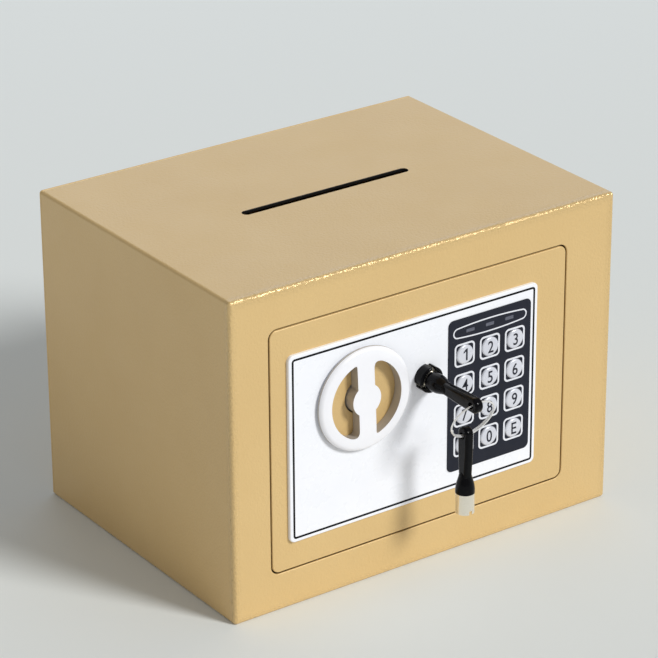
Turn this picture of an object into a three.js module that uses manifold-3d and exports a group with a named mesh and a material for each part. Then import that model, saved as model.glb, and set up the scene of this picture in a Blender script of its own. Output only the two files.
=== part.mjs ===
// A toy cash machine savings bank: a small steel safe with a hinged door, a bolt knob,
// a push-key panel, an emergency key lock and a banknote slot in its top.
// Millimetres, +Z up, front towards -Y, origin at the middle of the base.

import * as THREE from "three";
import { mergeVertices } from "three/addons/utils/BufferGeometryUtils.js";
import Module from "manifold-3d";

const wasm = await Module();
wasm.setup();

// ---------------------------------------------------------------- driving dimensions

const CASE_W = 230;
const CASE_D = 170;
const CASE_H = 170;
const SHEET = 1.5; // wall of the folded case
const FOLD_R = 1.8; // outside radius of its long folds
const CLEAR = 0.3; // general clearance between pieces that fit

// front frame round the door opening
const FRAME_LEFT = 21.5;
const FRAME_RIGHT = 29.5;
const FRAME_RAIL = 20.2; // above and below
const OPENING_R = 4.8;

const DOOR_T = 3;
const DOOR_GAP = 0.8;

const SLOT_L = 100; // banknote slot in the top
const SLOT_W = 5;

// faceplate: margins to the door's edges
const FACE_LEFT = 9.2;
const FACE_RIGHT = 18.6;
const FACE_RAIL = 14.5;
const FACE_T = 1.8;
const FACE_R = 3;

// push-key panel, set in from the faceplate's right edge and down from its top
const PANEL_W = 51;
const PANEL_H = 82;
const PANEL_T = 0.4;
const PANEL_R = 3;
const PANEL_RIGHT = 4.5;
const PANEL_DROP = 7.1;

const KEY_R = 5;
const KEY_PITCH_X = 15.55;
const KEY_PITCH_Z = 16.3;
const KEY_TOP_DROP = 19.5; // panel top to the first row
const KEY_PROUD = 0.8;
const KEY_TRAVEL = 1;
const KEY_STEM_R = 2;

const LAMP_W = 5.1;
const LAMP_H = 1.8;
const LAMP_PITCH = 12.05;
const LAMP_DROP = 7.4; // panel top to the lamps

// bolt knob, measured from the faceplate's left edge and top
const KNOB_FROM_LEFT = 42.6;
const KNOB_DROP = 32.6;
const KNOB_R = 27;
const KNOB_FLOAT = 0.9; // gap between the knob's rim and the faceplate
const KNOB_RIM_T = 0.7;
const KNOB_DOME = 2.6;
const KNOB_WINDOW_R = 20.5;
const KNOB_SKIRT_T = 1.2; // wall round the windows, down into the faceplate's hole
const KNOB_BAR_W = 9.8;
const KNOB_HUB_R = 8.2;
const KNOB_TILT = THREE.MathUtils.degToRad(2.3);
const SHAFT_R = 4;
const CAM_R = 14;
const CAM_ARM = 10; // crank radius
const CAM_PIN_R = 2.5;
const CAM_SWEEP = THREE.MathUtils.degToRad(60);
const BOLT_THROW = 2 * CAM_ARM * Math.sin(CAM_SWEEP / 2);

// bolts
const BOLT_R = 5;
const BOLT_SPREAD = 60; // between the two bolts
const BOLT_SET_IN = 1.2; // withdrawn end behind the door's edge
const BUSH_WALL = 1.7;
const PLATE_T = 1.6;

// emergency lock
const LOCK_RIGHT_OF_KNOB = 37.9;
const LOCK_RISE = 0.4;
const COLLAR_PROUD = 5.7; // in front of the faceplate
const KEY_TUBE_R = 4.75;
const KEY_TUBE_WALL = 0.9;
const KEY_TUBE_L = 10.8;
const BARREL_WALL = 0.85;
const COLLAR_LAP = 0.9; // collar's rim past the barrel
const GRIP_FLARE = 0.1; // grip's shoulder past the tube
const GRIP_L = 35.5;
const GRIP_T = 4.7;
const GRIP_W = 7.8;
const GRIP_HOLE_R = 1.75;
const GRIP_HOLE_END = 4.5; // hole to the grip's tip
const RING_R = 11.9; // key ring, to the middle of its wire
const RING_WIRE_R = 0.6;
const RING_TILT = THREE.MathUtils.degToRad(26); // lower edge swung towards the door
const RING_SLIP = THREE.MathUtils.degToRad(15); // turned in its own plane through the grip's hole

// inner door cover and what is in it
const COVER_WALL = 1.2;
const COVER_DEPTH = 32;
const COVER_RAIL = 5; // set in from the door's top and bottom
const COVER_LEFT = 6.7;
const BATTERY_R = 7.1;
const BATTERY_L = 49.5;
const BATTERY_PITCH = 2 * BATTERY_R + 0.5;
const STUD_R = 3.2;
const SCREW_R = 1.2;

// hinge
const PIN_R = 1.7;
const LEAF_T = 5;
const LEAF_W = 11;
const HINGE_BACK = 2.5; // pin centre behind the door's inner face
const SWING_CLEAR = 0.12;

// ---------------------------------------------------------------- places worked out

const FRONT = -CASE_D / 2;
const BACK = CASE_D / 2;

const opening = {
  x0: -CASE_W / 2 + FRAME_LEFT,
  x1: CASE_W / 2 - FRAME_RIGHT,
  z0: FRAME_RAIL,
  z1: CASE_H - FRAME_RAIL,
};
const door = {
  x0: opening.x0 + DOOR_GAP,
  x1: opening.x1 - DOOR_GAP,
  z0: opening.z0 + DOOR_GAP,
  z1: opening.z1 - DOOR_GAP,
  inner: FRONT + DOOR_T,
};
const midZ = (door.z0 + door.z1) / 2;
const face = {
  x0: door.x0 + FACE_LEFT,
  x1: door.x1 - FACE_RIGHT,
  z0: door.z0 + FACE_RAIL,
  z1: door.z1 - FACE_RAIL,
  front: FRONT - FACE_T,
};
const panel = {
  x0: face.x1 - PANEL_RIGHT - PANEL_W,
  x1: face.x1 - PANEL_RIGHT,
  z0: face.z1 - PANEL_DROP - PANEL_H,
  z1: face.z1 - PANEL_DROP,
  front: face.front - PANEL_T,
};
const panelMidX = (panel.x0 + panel.x1) / 2;
const lampZ = panel.z1 - LAMP_DROP;

// The pin stands as far from the door's edge as lets the edge's outer corner turn inside the gap.
const pinDepth = DOOR_T + HINGE_BACK;
const swingRoom = DOOR_GAP - SWING_CLEAR;
const hinge = {
  x: door.x1 - (pinDepth ** 2 - swingRoom ** 2) / (2 * swingRoom),
  y: FRONT + pinDepth,
};
const leaf = { x0: hinge.x - LEAF_W / 2, x1: hinge.x + LEAF_W / 2 };

const cover = {
  x0: door.x0 + COVER_LEFT,
  x1: leaf.x0 - 2 * CLEAR,
  z0: door.z0 + COVER_RAIL,
  z1: door.z1 - COVER_RAIL,
  back: door.inner + COVER_DEPTH,
};
const coverInner = {
  x0: cover.x0 + COVER_WALL,
  x1: cover.x1 - COVER_WALL,
  z0: cover.z0 + COVER_WALL,
  z1: cover.z1 - COVER_WALL,
  back: cover.back - COVER_WALL,
};

const knob = {
  x: face.x0 + KNOB_FROM_LEFT,
  z: face.z1 - KNOB_DROP,
  rim: face.front - KNOB_FLOAT,
};
const knobBore = SHAFT_R + CLEAR;
const hubHoleR = KNOB_HUB_R + 0.8;
const lock = { x: knob.x + LOCK_RIGHT_OF_KNOB, z: knob.z + LOCK_RISE };
const BARREL_R = KEY_TUBE_R + CLEAR + BARREL_WALL;
const COLLAR_R = BARREL_R + COLLAR_LAP;

const boltY = door.inner + BOLT_R + BUSH_WALL + 2 * CLEAR + 0.7;
const boltZ = [midZ + BOLT_SPREAD / 2, midZ - BOLT_SPREAD / 2];
const boltTip = door.x0 + BOLT_SET_IN;
const plate = {
  front: boltY + BOLT_R + 2 * CLEAR,
  tabX: knob.x - CAM_R - BOLT_THROW - CLEAR,
  x1: knob.x + CAM_ARM + 11,
  z0: cover.z0 + 26,
  z1: Math.max(boltZ[0] + BOLT_R + 7, knob.z + CAM_ARM + CAM_PIN_R + 2 * CLEAR + 3),
};
plate.back = plate.front + PLATE_T;
const camBack = plate.front - 2 * CLEAR;
const CAM_T = 3;

// ---------------------------------------------------------------- outlines

function arc(cx, cy, r, from, to, steps) {
  const points = [];
  for (let i = 0; i <= steps; i++) {
    const a = from + ((to - from) * i) / steps;
    points.push(new THREE.Vector2(cx + r * Math.cos(a), cy + r * Math.sin(a)));
  }
  return points;
}

function circle(cx, cy, r, steps = 24) {
  return arc(cx, cy, r, 0, 2 * Math.PI, steps).slice(0, -1);
}

function rectangle(x0, y0, x1, y1) {
  return [[x0, y0], [x1, y0], [x1, y1], [x0, y1]].map(([x, y]) => new THREE.Vector2(x, y));
}

function roundedRectangle(x0, y0, x1, y1, r, steps = 4) {
  const quarter = Math.PI / 2;
  return [
    ...arc(x1 - r, y0 + r, r, -quarter, 0, steps),
    ...arc(x1 - r, y1 - r, r, 0, quarter, steps),
    ...arc(x0 + r, y1 - r, r, quarter, 2 * quarter, steps),
    ...arc(x0 + r, y0 + r, r, 2 * quarter, 3 * quarter, steps),
  ];
}

function outlineOf(points) {
  return points.map(([x, y]) => new THREE.Vector2(x, y));
}

// ---------------------------------------------------------------- solids

function extrude(outline, holes, length) {
  const shape = new THREE.Shape(outline);
  shape.holes = holes.map((hole) => new THREE.Path(hole));
  return new THREE.ExtrudeGeometry(shape, { depth: length, bevelEnabled: false, curveSegments: 1 });
}

// an outline in X and Z, from yFront to yBack
function alongY(outline, yFront, yBack, holes = []) {
  const body = extrude(outline, holes, yBack - yFront);
  return body.rotateX(Math.PI / 2).translate(0, yBack, 0);
}

// an outline in X and Y, from z0 to z1
function alongZ(outline, z0, z1, holes = []) {
  return extrude(outline, holes, z1 - z0).translate(0, 0, z0);
}

// an outline in Y and Z, from x0 to x1
function alongX(outline, x0, x1, holes = []) {
  const turn = new THREE.Matrix4().set(0, 0, 1, x0, 1, 0, 0, 0, 0, 1, 0, 0, 0, 0, 0, 1);
  return extrude(outline, holes, x1 - x0).applyMatrix4(turn);
}

function box(x0, x1, y0, y1, z0, z1) {
  const body = new THREE.BoxGeometry(x1 - x0, y1 - y0, z1 - z0);
  return body.translate((x0 + x1) / 2, (y0 + y1) / 2, (z0 + z1) / 2);
}

// a profile of [radius, y] turned round an axis along Y through (x, z); listed from front to back
function turned(profile, x, z, steps = 24) {
  const points = profile.map(([r, y]) => new THREE.Vector2(r, y));
  return new THREE.LatheGeometry(points, steps).translate(x, 0, z);
}

function toSolid(geometry) {
  const bare = geometry.clone();
  bare.deleteAttribute("normal");
  bare.deleteAttribute("uv");
  const merged = mergeVertices(bare, 1e-5);
  return new wasm.Manifold(new wasm.Mesh({
    numProp: 3,
    vertProperties: new Float32Array(merged.attributes.position.array),
    triVerts: new Uint32Array(merged.index.array),
  }));
}

function toGeometry(solid) {
  const { vertProperties, triVerts } = solid.getMesh();
  const geometry = new THREE.BufferGeometry();
  geometry.setAttribute("position", new THREE.BufferAttribute(new Float32Array(vertProperties), 3));
  geometry.setIndex(new THREE.BufferAttribute(new Uint32Array(triVerts), 1));
  geometry.computeVertexNormals();
  return geometry;
}

function cut(geometry, ...tools) {
  return toGeometry(tools.reduce((solid, tool) => solid.subtract(toSolid(tool)), toSolid(geometry)));
}

function join(geometry, ...others) {
  return toGeometry(others.reduce((solid, other) => solid.add(toSolid(other)), toSolid(geometry)));
}

// ---------------------------------------------------------------- finishes

function finish(color, roughness, metalness) {
  return () => new THREE.MeshStandardMaterial({ color, roughness, metalness });
}

const FINISHES = {
  powderCoat: finish(0xdcbc82, 0.5, 0.2),
  whiteFace: finish(0xf2f3f8, 0.3, 0.1),
  panelNavy: finish(0x2c2f3b, 0.35, 0),
  silver: finish(0xdfe1ea, 0.25, 0.7),
  nickel: finish(0xe8e0cc, 0.2, 1),
  blackPlastic: finish(0x121216, 0.35, 0),
  steel: finish(0xb4b6ba, 0.35, 1),
  copper: finish(0xb5652c, 0.4, 0.8),
  boardGreen: finish(0x1d6b3f, 0.5, 0),
  clearLamp: finish(0xc8ccd4, 0.1, 0),
  batteryJacket: finish(0x3a5a48, 0.4, 0.1),
  felt: finish(0x54585c, 0.95, 0),
};

const bank = new THREE.Group();

function add(name, geometry, finishName, parent = bank) {
  const mesh = new THREE.Mesh(geometry, FINISHES[finishName]());
  mesh.name = name;
  parent.add(mesh);
  return mesh;
}

// ---------------------------------------------------------------- case

function bodyShell() {
  const half = CASE_W / 2;
  const inside = half - SHEET;
  const outer = roundedRectangle(-half, 0, half, CASE_H, FOLD_R);
  const hollow = roundedRectangle(-inside, SHEET, inside, CASE_H - SHEET, FOLD_R - SHEET / 2);
  const doorway = roundedRectangle(opening.x0, opening.z0, opening.x1, opening.z1, OPENING_R);
  const slot = roundedRectangle(-SLOT_L / 2, -SLOT_W / 2, SLOT_L / 2, SLOT_W / 2, SLOT_W / 2 - 0.01);
  return cut(
    alongY(outer, FRONT, BACK - SHEET),
    alongY(hollow, FRONT + SHEET, BACK),
    alongY(doorway, FRONT - 1, FRONT + SHEET + 1),
    alongZ(slot, CASE_H - SHEET - 1, CASE_H + 1),
  );
}

const ANCHOR_R = 5;
const ANCHOR_SPREAD = 110;

function backPanel() {
  const outline = roundedRectangle(-CASE_W / 2, 0, CASE_W / 2, CASE_H, FOLD_R);
  const anchors = [-1, 1].map((side) => circle((side * ANCHOR_SPREAD) / 2, CASE_H / 2, ANCHOR_R));
  return alongY(outline, BACK - SHEET, BACK, anchors);
}

const BRACKET = { half: 7, reach: 9.5, leafT: 2, rise: 12, standOff: 1.2 };

// an angle welded behind the frame, above (side 1) or below (side -1) the doorway
function hingeBracket(side) {
  const weld = FRONT + SHEET;
  const edge = side > 0 ? opening.z1 : opening.z0;
  const z = (d) => edge + side * (BRACKET.standOff + d);
  const outline = outlineOf([
    [weld, z(0)],
    [weld + BRACKET.reach, z(0)],
    [weld + BRACKET.reach, z(BRACKET.leafT)],
    [weld + SHEET, z(BRACKET.leafT)],
    [weld + SHEET, z(BRACKET.rise)],
    [weld, z(BRACKET.rise)],
  ]);
  const angle = alongX(outline, hinge.x - BRACKET.half, hinge.x + BRACKET.half);
  const ends = [z(-1), z(BRACKET.leafT + 1)].sort((a, b) => a - b);
  return cut(angle, alongZ(circle(hinge.x, hinge.y, PIN_R + CLEAR), ...ends));
}

const MAT_T = 2;
const MAT_EDGE = FOLD_R; // clear of the fold's inside curve

function floorMat() {
  const side = CASE_W / 2 - SHEET - MAT_EDGE;
  return box(-side, side, FRONT + SHEET + MAT_EDGE, BACK - SHEET - MAT_EDGE, SHEET, SHEET + MAT_T);
}

add("body_shell", bodyShell(), "powderCoat");
add("back_panel", backPanel(), "powderCoat");
add("hinge_bracket_upper", hingeBracket(1), "steel");
add("hinge_bracket_lower", hingeBracket(-1), "steel");
add("floor_mat", floorMat(), "felt");

// ---------------------------------------------------------------- door

const STUD_INSET = 7;
const studs = [
  [coverInner.x0 + STUD_INSET, coverInner.z0 + STUD_INSET],
  [coverInner.x0 + STUD_INSET, coverInner.z1 - STUD_INSET],
  [coverInner.x1 - STUD_INSET, coverInner.z1 - STUD_INSET],
  [coverInner.x1 - STUD_INSET, coverInner.z0 + STUD_INSET],
];
const STUD_BORE = 12;

const keyColumns = [-1, 0, 1].map((i) => panelMidX + i * KEY_PITCH_X);
const keyRows = [0, 1, 2, 3].map((i) => panel.z1 - KEY_TOP_DROP - i * KEY_PITCH_Z);
const WIRE_WINDOW = {
  x0: keyColumns[0] - KEY_R - 2,
  x1: keyColumns[2] + KEY_R,
  z0: keyRows[3] - KEY_R - 3,
  z1: lampZ + 4,
};

function doorPanel() {
  const outline = roundedRectangle(door.x0, door.z0, door.x1, door.z1, OPENING_R - DOOR_GAP);
  const holes = [
    circle(knob.x, knob.z, hubHoleR, 32),
    circle(lock.x, lock.z, BARREL_R + CLEAR),
    roundedRectangle(WIRE_WINDOW.x0, WIRE_WINDOW.z0, WIRE_WINDOW.x1, WIRE_WINDOW.z1, 3),
  ];
  const sheet = alongY(outline, FRONT, door.inner, holes);
  const posts = studs.map(([x, z]) => alongY(circle(x, z, STUD_R, 16), door.inner - 1, coverInner.back));
  const bores = studs.map(([x, z]) =>
    alongY(circle(x, z, SCREW_R + CLEAR, 12), coverInner.back - STUD_BORE, coverInner.back + 1));
  return cut(join(sheet, ...posts), ...bores);
}

const LEAF_END = 4; // leaf shorter than the door at each end
const PIN_DEPTH = 10; // pin's length inside the leaf

function hingeLeaf() {
  const body = box(leaf.x0, leaf.x1, door.inner, door.inner + LEAF_T, door.z0 + LEAF_END, door.z1 - LEAF_END);
  const bore = circle(hinge.x, hinge.y, PIN_R + CLEAR);
  return cut(
    body,
    alongZ(bore, door.z1 - LEAF_END - PIN_DEPTH - CLEAR, door.z1),
    alongZ(bore, door.z0, door.z0 + LEAF_END + PIN_DEPTH + CLEAR),
  );
}

function hingePin(side) {
  const leafEnd = side > 0 ? door.z1 - LEAF_END : door.z0 + LEAF_END;
  const bracketEnd = (side > 0 ? opening.z1 : opening.z0) + side * (BRACKET.standOff + BRACKET.leafT + 0.6);
  const ends = [leafEnd - side * PIN_DEPTH, bracketEnd].sort((a, b) => a - b);
  return alongZ(circle(hinge.x, hinge.y, PIN_R, 20), ...ends);
}

add("door_panel", doorPanel(), "powderCoat");
add("hinge_leaf", hingeLeaf(), "powderCoat");
add("hinge_pin_upper", hingePin(1), "steel");
add("hinge_pin_lower", hingePin(-1), "steel");

// ---------------------------------------------------------------- faceplate and key panel

const KEY_HOLE_R = KEY_R + CLEAR;
const LAMP_BAR = { half: LAMP_PITCH + LAMP_W / 2 + 3.5, height: 4 };

function keyHoles() {
  return keyRows.flatMap((z) => keyColumns.map((x) => circle(x, z, KEY_HOLE_R, 16)));
}

function facePlate() {
  const outline = roundedRectangle(face.x0, face.z0, face.x1, face.z1, FACE_R);
  const lampSlot = rectangle(
    panelMidX - LAMP_BAR.half - CLEAR,
    lampZ - LAMP_BAR.height / 2 - CLEAR,
    panelMidX + LAMP_BAR.half + CLEAR,
    lampZ + LAMP_BAR.height / 2 + CLEAR,
  );
  return alongY(outline, face.front, FRONT, [
    circle(knob.x, knob.z, KNOB_WINDOW_R + KNOB_SKIRT_T + 2 * CLEAR, 40),
    circle(lock.x, lock.z, BARREL_R + CLEAR),
    lampSlot,
    ...keyHoles(),
  ]);
}

function lampWindow(x, clearance) {
  const w = LAMP_W / 2 + clearance;
  const h = LAMP_H / 2 + clearance;
  return rectangle(x - w, lampZ - h, x + w, lampZ + h);
}

const lampXs = [-1, 0, 1].map((i) => panelMidX + i * LAMP_PITCH);

function keypadPanel() {
  const outline = roundedRectangle(panel.x0, panel.z0, panel.x1, panel.z1, PANEL_R);
  const lamps = lampXs.map((x) => alongY(lampWindow(x, CLEAR), panel.front - 1, face.front + 1));
  return cut(alongY(outline, panel.front, face.front, keyHoles()), ...lamps);
}

function lightGuide() {
  const half = LAMP_BAR.height / 2;
  const bar = box(
    panelMidX - LAMP_BAR.half, panelMidX + LAMP_BAR.half,
    face.front + CLEAR, door.inner, lampZ - half, lampZ + half,
  );
  return join(bar, ...lampXs.map((x) => alongY(lampWindow(x, 0), panel.front, face.front + CLEAR + 0.5)));
}

const BOARD_T = 1.6;
const BOARD_LAP = 3; // board past the window, above and below
const SWITCH = { half: 1.5, height: 1.7 };

function circuitBoard() {
  const board = box(
    WIRE_WINDOW.x0 - BOARD_LAP, coverInner.x1 - CLEAR,
    door.inner, door.inner + BOARD_T, WIRE_WINDOW.z0 - BOARD_LAP, WIRE_WINDOW.z1 + BOARD_LAP,
  );
  const switches = keyRows.flatMap((z) => keyColumns.map((x) => box(
    x - SWITCH.half, x + SWITCH.half,
    door.inner - SWITCH.height, door.inner + 0.5, z - SWITCH.half, z + SWITCH.half,
  )));
  return join(board, ...switches);
}

add("faceplate", facePlate(), "whiteFace");
add("keypad_panel", keypadPanel(), "panelNavy");
add("led_light_guide", lightGuide(), "clearLamp");
add("circuit_board", circuitBoard(), "boardGreen");

const KEY_LEGENDS = ["1", "2", "3", "4", "5", "6", "7", "8", "9", "blank", "0", "e"];

function pushKey(x, z) {
  const stemEnd = door.inner - SWITCH.height - KEY_TRAVEL - CLEAR;
  const capBack = face.front + 0.7;
  return turned([
    [0, panel.front - KEY_PROUD],
    [KEY_R - 1, panel.front - KEY_PROUD + 0.15],
    [KEY_R, panel.front - KEY_PROUD + 0.65],
    [KEY_R, capBack],
    [KEY_STEM_R, capBack],
    [KEY_STEM_R, stemEnd],
    [0, stemEnd],
  ], x, z, 16);
}

KEY_LEGENDS.forEach((legend, i) => {
  const x = keyColumns[i % 3];
  const z = keyRows[Math.floor(i / 3)];
  add(`key_${legend}`, pushKey(x, z), "silver");
});

// ---------------------------------------------------------------- bolt knob

function knobWindow(side) {
  const half = KNOB_BAR_W / 2;
  const reach = Math.asin(half / KNOB_WINDOW_R);
  const mouth = Math.asin(half / KNOB_HUB_R);
  const outer = arc(0, 0, KNOB_WINDOW_R, -Math.PI / 2 + reach, Math.PI / 2 - reach, 20);
  const inner = arc(0, 0, KNOB_HUB_R, Math.PI / 2 - mouth, -Math.PI / 2 + mouth, 8);
  const window = alongY([...outer, ...inner], knob.rim - KNOB_DOME - 5, FRONT + 5);
  return window.rotateY((side > 0 ? 0 : Math.PI) - KNOB_TILT).translate(knob.x, 0, knob.z);
}

function knobBody() {
  const crown = knob.rim - KNOB_RIM_T - KNOB_DOME;
  const disc = turned([
    [0, crown],
    [KNOB_R * 0.72, crown + 0.25],
    [KNOB_R * 0.9, crown + 1.1],
    [KNOB_R * 0.985, knob.rim - KNOB_RIM_T - 0.3],
    [KNOB_R, knob.rim - KNOB_RIM_T + 0.2],
    [KNOB_R, knob.rim],
    [KNOB_WINDOW_R + KNOB_SKIRT_T, knob.rim],
    [KNOB_WINDOW_R + KNOB_SKIRT_T, FRONT - CLEAR],
    [KNOB_HUB_R, FRONT - CLEAR],
    [KNOB_HUB_R, door.inner - 1],
    [0, door.inner - 1],
  ], knob.x, knob.z, 40);
  const bore = alongY(circle(knob.x, knob.z, knobBore), crown + 2.2, door.inner);
  return cut(disc, knobWindow(1), knobWindow(-1), bore);
}

function knobShaft() {
  const crown = knob.rim - KNOB_RIM_T - KNOB_DOME;
  return alongY(circle(knob.x, knob.z, SHAFT_R, 20), crown + 2.2 + CLEAR, camBack);
}

// The crank pin starts half its sweep to the right of straight up and ends as far to the left.
function knobCam() {
  const x = knob.x + CAM_ARM * Math.sin(CAM_SWEEP / 2);
  const z = knob.z + CAM_ARM * Math.cos(CAM_SWEEP / 2);
  const disc = alongY(circle(knob.x, knob.z, CAM_R, 32), camBack - CAM_T, camBack, [
    circle(knob.x, knob.z, SHAFT_R + CLEAR, 20),
  ]);
  return join(disc, alongY(circle(x, z, CAM_PIN_R, 20), camBack - 1, plate.back + 1));
}

add("knob", knobBody(), "silver");
add("knob_shaft", knobShaft(), "steel");
add("knob_cam", knobCam(), "steel");

// ---------------------------------------------------------------- bolts

const SOLENOID_X = knob.x + 6;
const SOLENOID_TRAVEL = 4;
const PLUNGER_R = 2.5;
const PLUNGER_REST = 1.5; // tip below the bolt plate when withdrawn
const TAB_T = 2;

function boltPlate() {
  const pinX = knob.x + CAM_ARM * Math.sin(CAM_SWEEP / 2);
  const pinLow = knob.z + CAM_ARM * Math.cos(CAM_SWEEP / 2);
  const pinRoom = CAM_PIN_R + CLEAR;
  const pinSlot = rectangle(
    pinX - pinRoom, pinLow - pinRoom - CLEAR,
    pinX + pinRoom, knob.z + CAM_ARM + pinRoom + CLEAR,
  );
  const sheet = alongY(rectangle(plate.tabX, plate.z0, plate.x1, plate.z1), plate.front, plate.back, [pinSlot]);
  const tab = box(plate.tabX, plate.tabX + TAB_T, boltY - BOLT_R, plate.back, plate.z0, plate.z1);
  const notches = [0, BOLT_THROW].map((shift) => {
    const x = SOLENOID_X + shift;
    const room = PLUNGER_R + CLEAR;
    return box(x - room, x + room, plate.front - 1, plate.back + 1, plate.z0 - 1, plate.z0 + SOLENOID_TRAVEL);
  });
  return cut(join(sheet, tab), ...notches);
}

function bolt(z) {
  const tip = 1;
  const profile = [[0, 0], [BOLT_R - tip, 0], [BOLT_R, tip], [BOLT_R, plate.tabX - boltTip], [0, plate.tabX - boltTip]];
  const body = turned(profile, 0, 0);
  return body.rotateZ(-Math.PI / 2).translate(boltTip, boltY, z);
}

function boltBush(z) {
  const outer = circle(boltY, z, BOLT_R + CLEAR + BUSH_WALL);
  return alongX(outer, cover.x0 - 1, coverInner.x0 + 3, [circle(boltY, z, BOLT_R + CLEAR)]);
}

add("bolt_plate", boltPlate(), "steel");
["upper", "lower"].forEach((place, i) => {
  add(`bolt_${place}`, bolt(boltZ[i]), "steel");
  add(`bolt_bush_${place}`, boltBush(boltZ[i]), "blackPlastic");
});

// ---------------------------------------------------------------- solenoid

const solenoidY = (plate.front + plate.back) / 2;
const COIL_R = 7;
const YOKE_T = 1.5;
const YOKE_HALF = 8;
const PLUNGER_FLANGE = 0.8;
const plungerTip = plate.z0 - PLUNGER_REST;
const flangeTop = plungerTip - SOLENOID_TRAVEL + CLEAR;
const SPRING_ROOM = 2.2;
const yoke = { z0: coverInner.z0, z1: flangeTop - PLUNGER_FLANGE - SPRING_ROOM };

function solenoidFrame() {
  const front = solenoidY - COIL_R - CLEAR;
  const back = solenoidY + COIL_R + CLEAR + YOKE_T;
  const outline = outlineOf([
    [front, yoke.z0], [back, yoke.z0], [back, yoke.z1], [front, yoke.z1],
    [front, yoke.z1 - YOKE_T], [back - YOKE_T, yoke.z1 - YOKE_T],
    [back - YOKE_T, yoke.z0 + YOKE_T], [front, yoke.z0 + YOKE_T],
  ]);
  const bore = circle(SOLENOID_X, solenoidY, PLUNGER_R + CLEAR);
  return cut(
    alongX(outline, SOLENOID_X - YOKE_HALF, SOLENOID_X + YOKE_HALF),
    alongZ(bore, yoke.z1 - YOKE_T - 1, yoke.z1 + 1),
  );
}

function solenoidCoil() {
  const bore = circle(SOLENOID_X, solenoidY, PLUNGER_R + CLEAR);
  return alongZ(circle(SOLENOID_X, solenoidY, COIL_R), yoke.z0 + YOKE_T, yoke.z1 - YOKE_T, [bore]);
}

function solenoidPlunger() {
  const foot = yoke.z0 + YOKE_T + CLEAR;
  return turned([
    [0, -plungerTip], [PLUNGER_R, -plungerTip],
    [PLUNGER_R, -flangeTop], [PLUNGER_R + 1.6, -flangeTop],
    [PLUNGER_R + 1.6, -(flangeTop - PLUNGER_FLANGE)], [PLUNGER_R, -(flangeTop - PLUNGER_FLANGE)],
    [PLUNGER_R, -foot], [0, -foot],
  ], 0, 0, 20).rotateX(-Math.PI / 2).translate(SOLENOID_X, solenoidY, 0);
}

class Helix extends THREE.Curve {
  constructor(radius, height, turns) {
    super();
    Object.assign(this, { radius, height, turns });
  }

  getPoint(t, target = new THREE.Vector3()) {
    const a = 2 * Math.PI * this.turns * t;
    return target.set(this.radius * Math.cos(a), this.radius * Math.sin(a), this.height * t);
  }
}

function plungerSpring() {
  const wire = 0.22;
  const turns = 3;
  const height = SPRING_ROOM - 2 * wire - 2 * CLEAR;
  const path = new Helix(PLUNGER_R + CLEAR + 3 * wire, height, turns);
  const section = new THREE.Shape(circle(0, 0, wire, 5));
  const body = new THREE.ExtrudeGeometry(section, { extrudePath: path, steps: 10 * turns });
  return body.translate(SOLENOID_X, solenoidY, yoke.z1 + wire + CLEAR);
}

add("solenoid_frame", solenoidFrame(), "steel");
add("solenoid_coil", solenoidCoil(), "copper");
add("solenoid_plunger", solenoidPlunger(), "steel");
add("plunger_spring", plungerSpring(), "steel");

// ---------------------------------------------------------------- lock

const collarFront = face.front - COLLAR_PROUD;
const COLLAR_LIP = 1.2;
const COLLAR_NOTCHES = [81, 201, 321].map(THREE.MathUtils.degToRad);
const BARREL_BORE = KEY_TUBE_R + CLEAR;
const POST_R = KEY_TUBE_R - KEY_TUBE_WALL - CLEAR;
const keyShoulder = collarFront - 2;
const tubeEnd = keyShoulder + KEY_TUBE_L;
const BARREL_BACK = door.inner + 10;
const TAIL_R = 2.7;
const CAM_PLATE_T = 1.5;
const CAM_LEVER = 18;

function lockCollar() {
  const ring = turned([
    [COLLAR_R, face.front], [BARREL_R + CLEAR, face.front],
    [BARREL_R + CLEAR, collarFront + COLLAR_LIP], [BARREL_BORE, collarFront + COLLAR_LIP],
    [BARREL_BORE, collarFront], [COLLAR_R - 0.4, collarFront], [COLLAR_R, collarFront + 0.4],
    [COLLAR_R, face.front],
  ], lock.x, lock.z, 24);
  const notches = COLLAR_NOTCHES.map((angle) =>
    box(BARREL_BORE - 1, COLLAR_R + 1, collarFront - 1, collarFront + 2.6, -1.1, 1.1)
      .rotateY(-angle).translate(lock.x, 0, lock.z));
  return cut(ring, ...notches);
}

function lockBarrel() {
  const front = collarFront + COLLAR_LIP + CLEAR;
  const step = tubeEnd + 8;
  return turned([
    [BARREL_BORE, front], [BARREL_R, front], [BARREL_R, BARREL_BACK],
    [TAIL_R + CLEAR, BARREL_BACK], [TAIL_R + CLEAR, step], [BARREL_BORE, step], [BARREL_BORE, front],
  ], lock.x, lock.z);
}

function lockPlug() {
  const front = collarFront + 1;
  const shoulder = tubeEnd + CLEAR;
  const step = tubeEnd + 8 - CLEAR;
  return turned([
    [0, front], [POST_R, front], [POST_R, shoulder], [KEY_TUBE_R, shoulder],
    [KEY_TUBE_R, step], [TAIL_R, step],
    [TAIL_R, BARREL_BACK + 2 * CLEAR + CAM_PLATE_T + 0.5], [0, BARREL_BACK + 2 * CLEAR + CAM_PLATE_T + 0.5],
  ], lock.x, lock.z, 20);
}

function lockNut() {
  const across = BARREL_R + 4;
  return alongY(circle(lock.x, lock.z, across, 6), door.inner, door.inner + 3, [
    circle(lock.x, lock.z, BARREL_R + CLEAR),
  ]);
}

function lockCam() {
  const r = 4.5;
  const outline = roundedRectangle(lock.x - r, lock.z - r, lock.x + r, lock.z + CAM_LEVER, r - 0.01);
  const front = BARREL_BACK + CLEAR;
  return alongY(outline, front, front + CAM_PLATE_T, [circle(lock.x, lock.z, TAIL_R + CLEAR)]);
}

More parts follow.
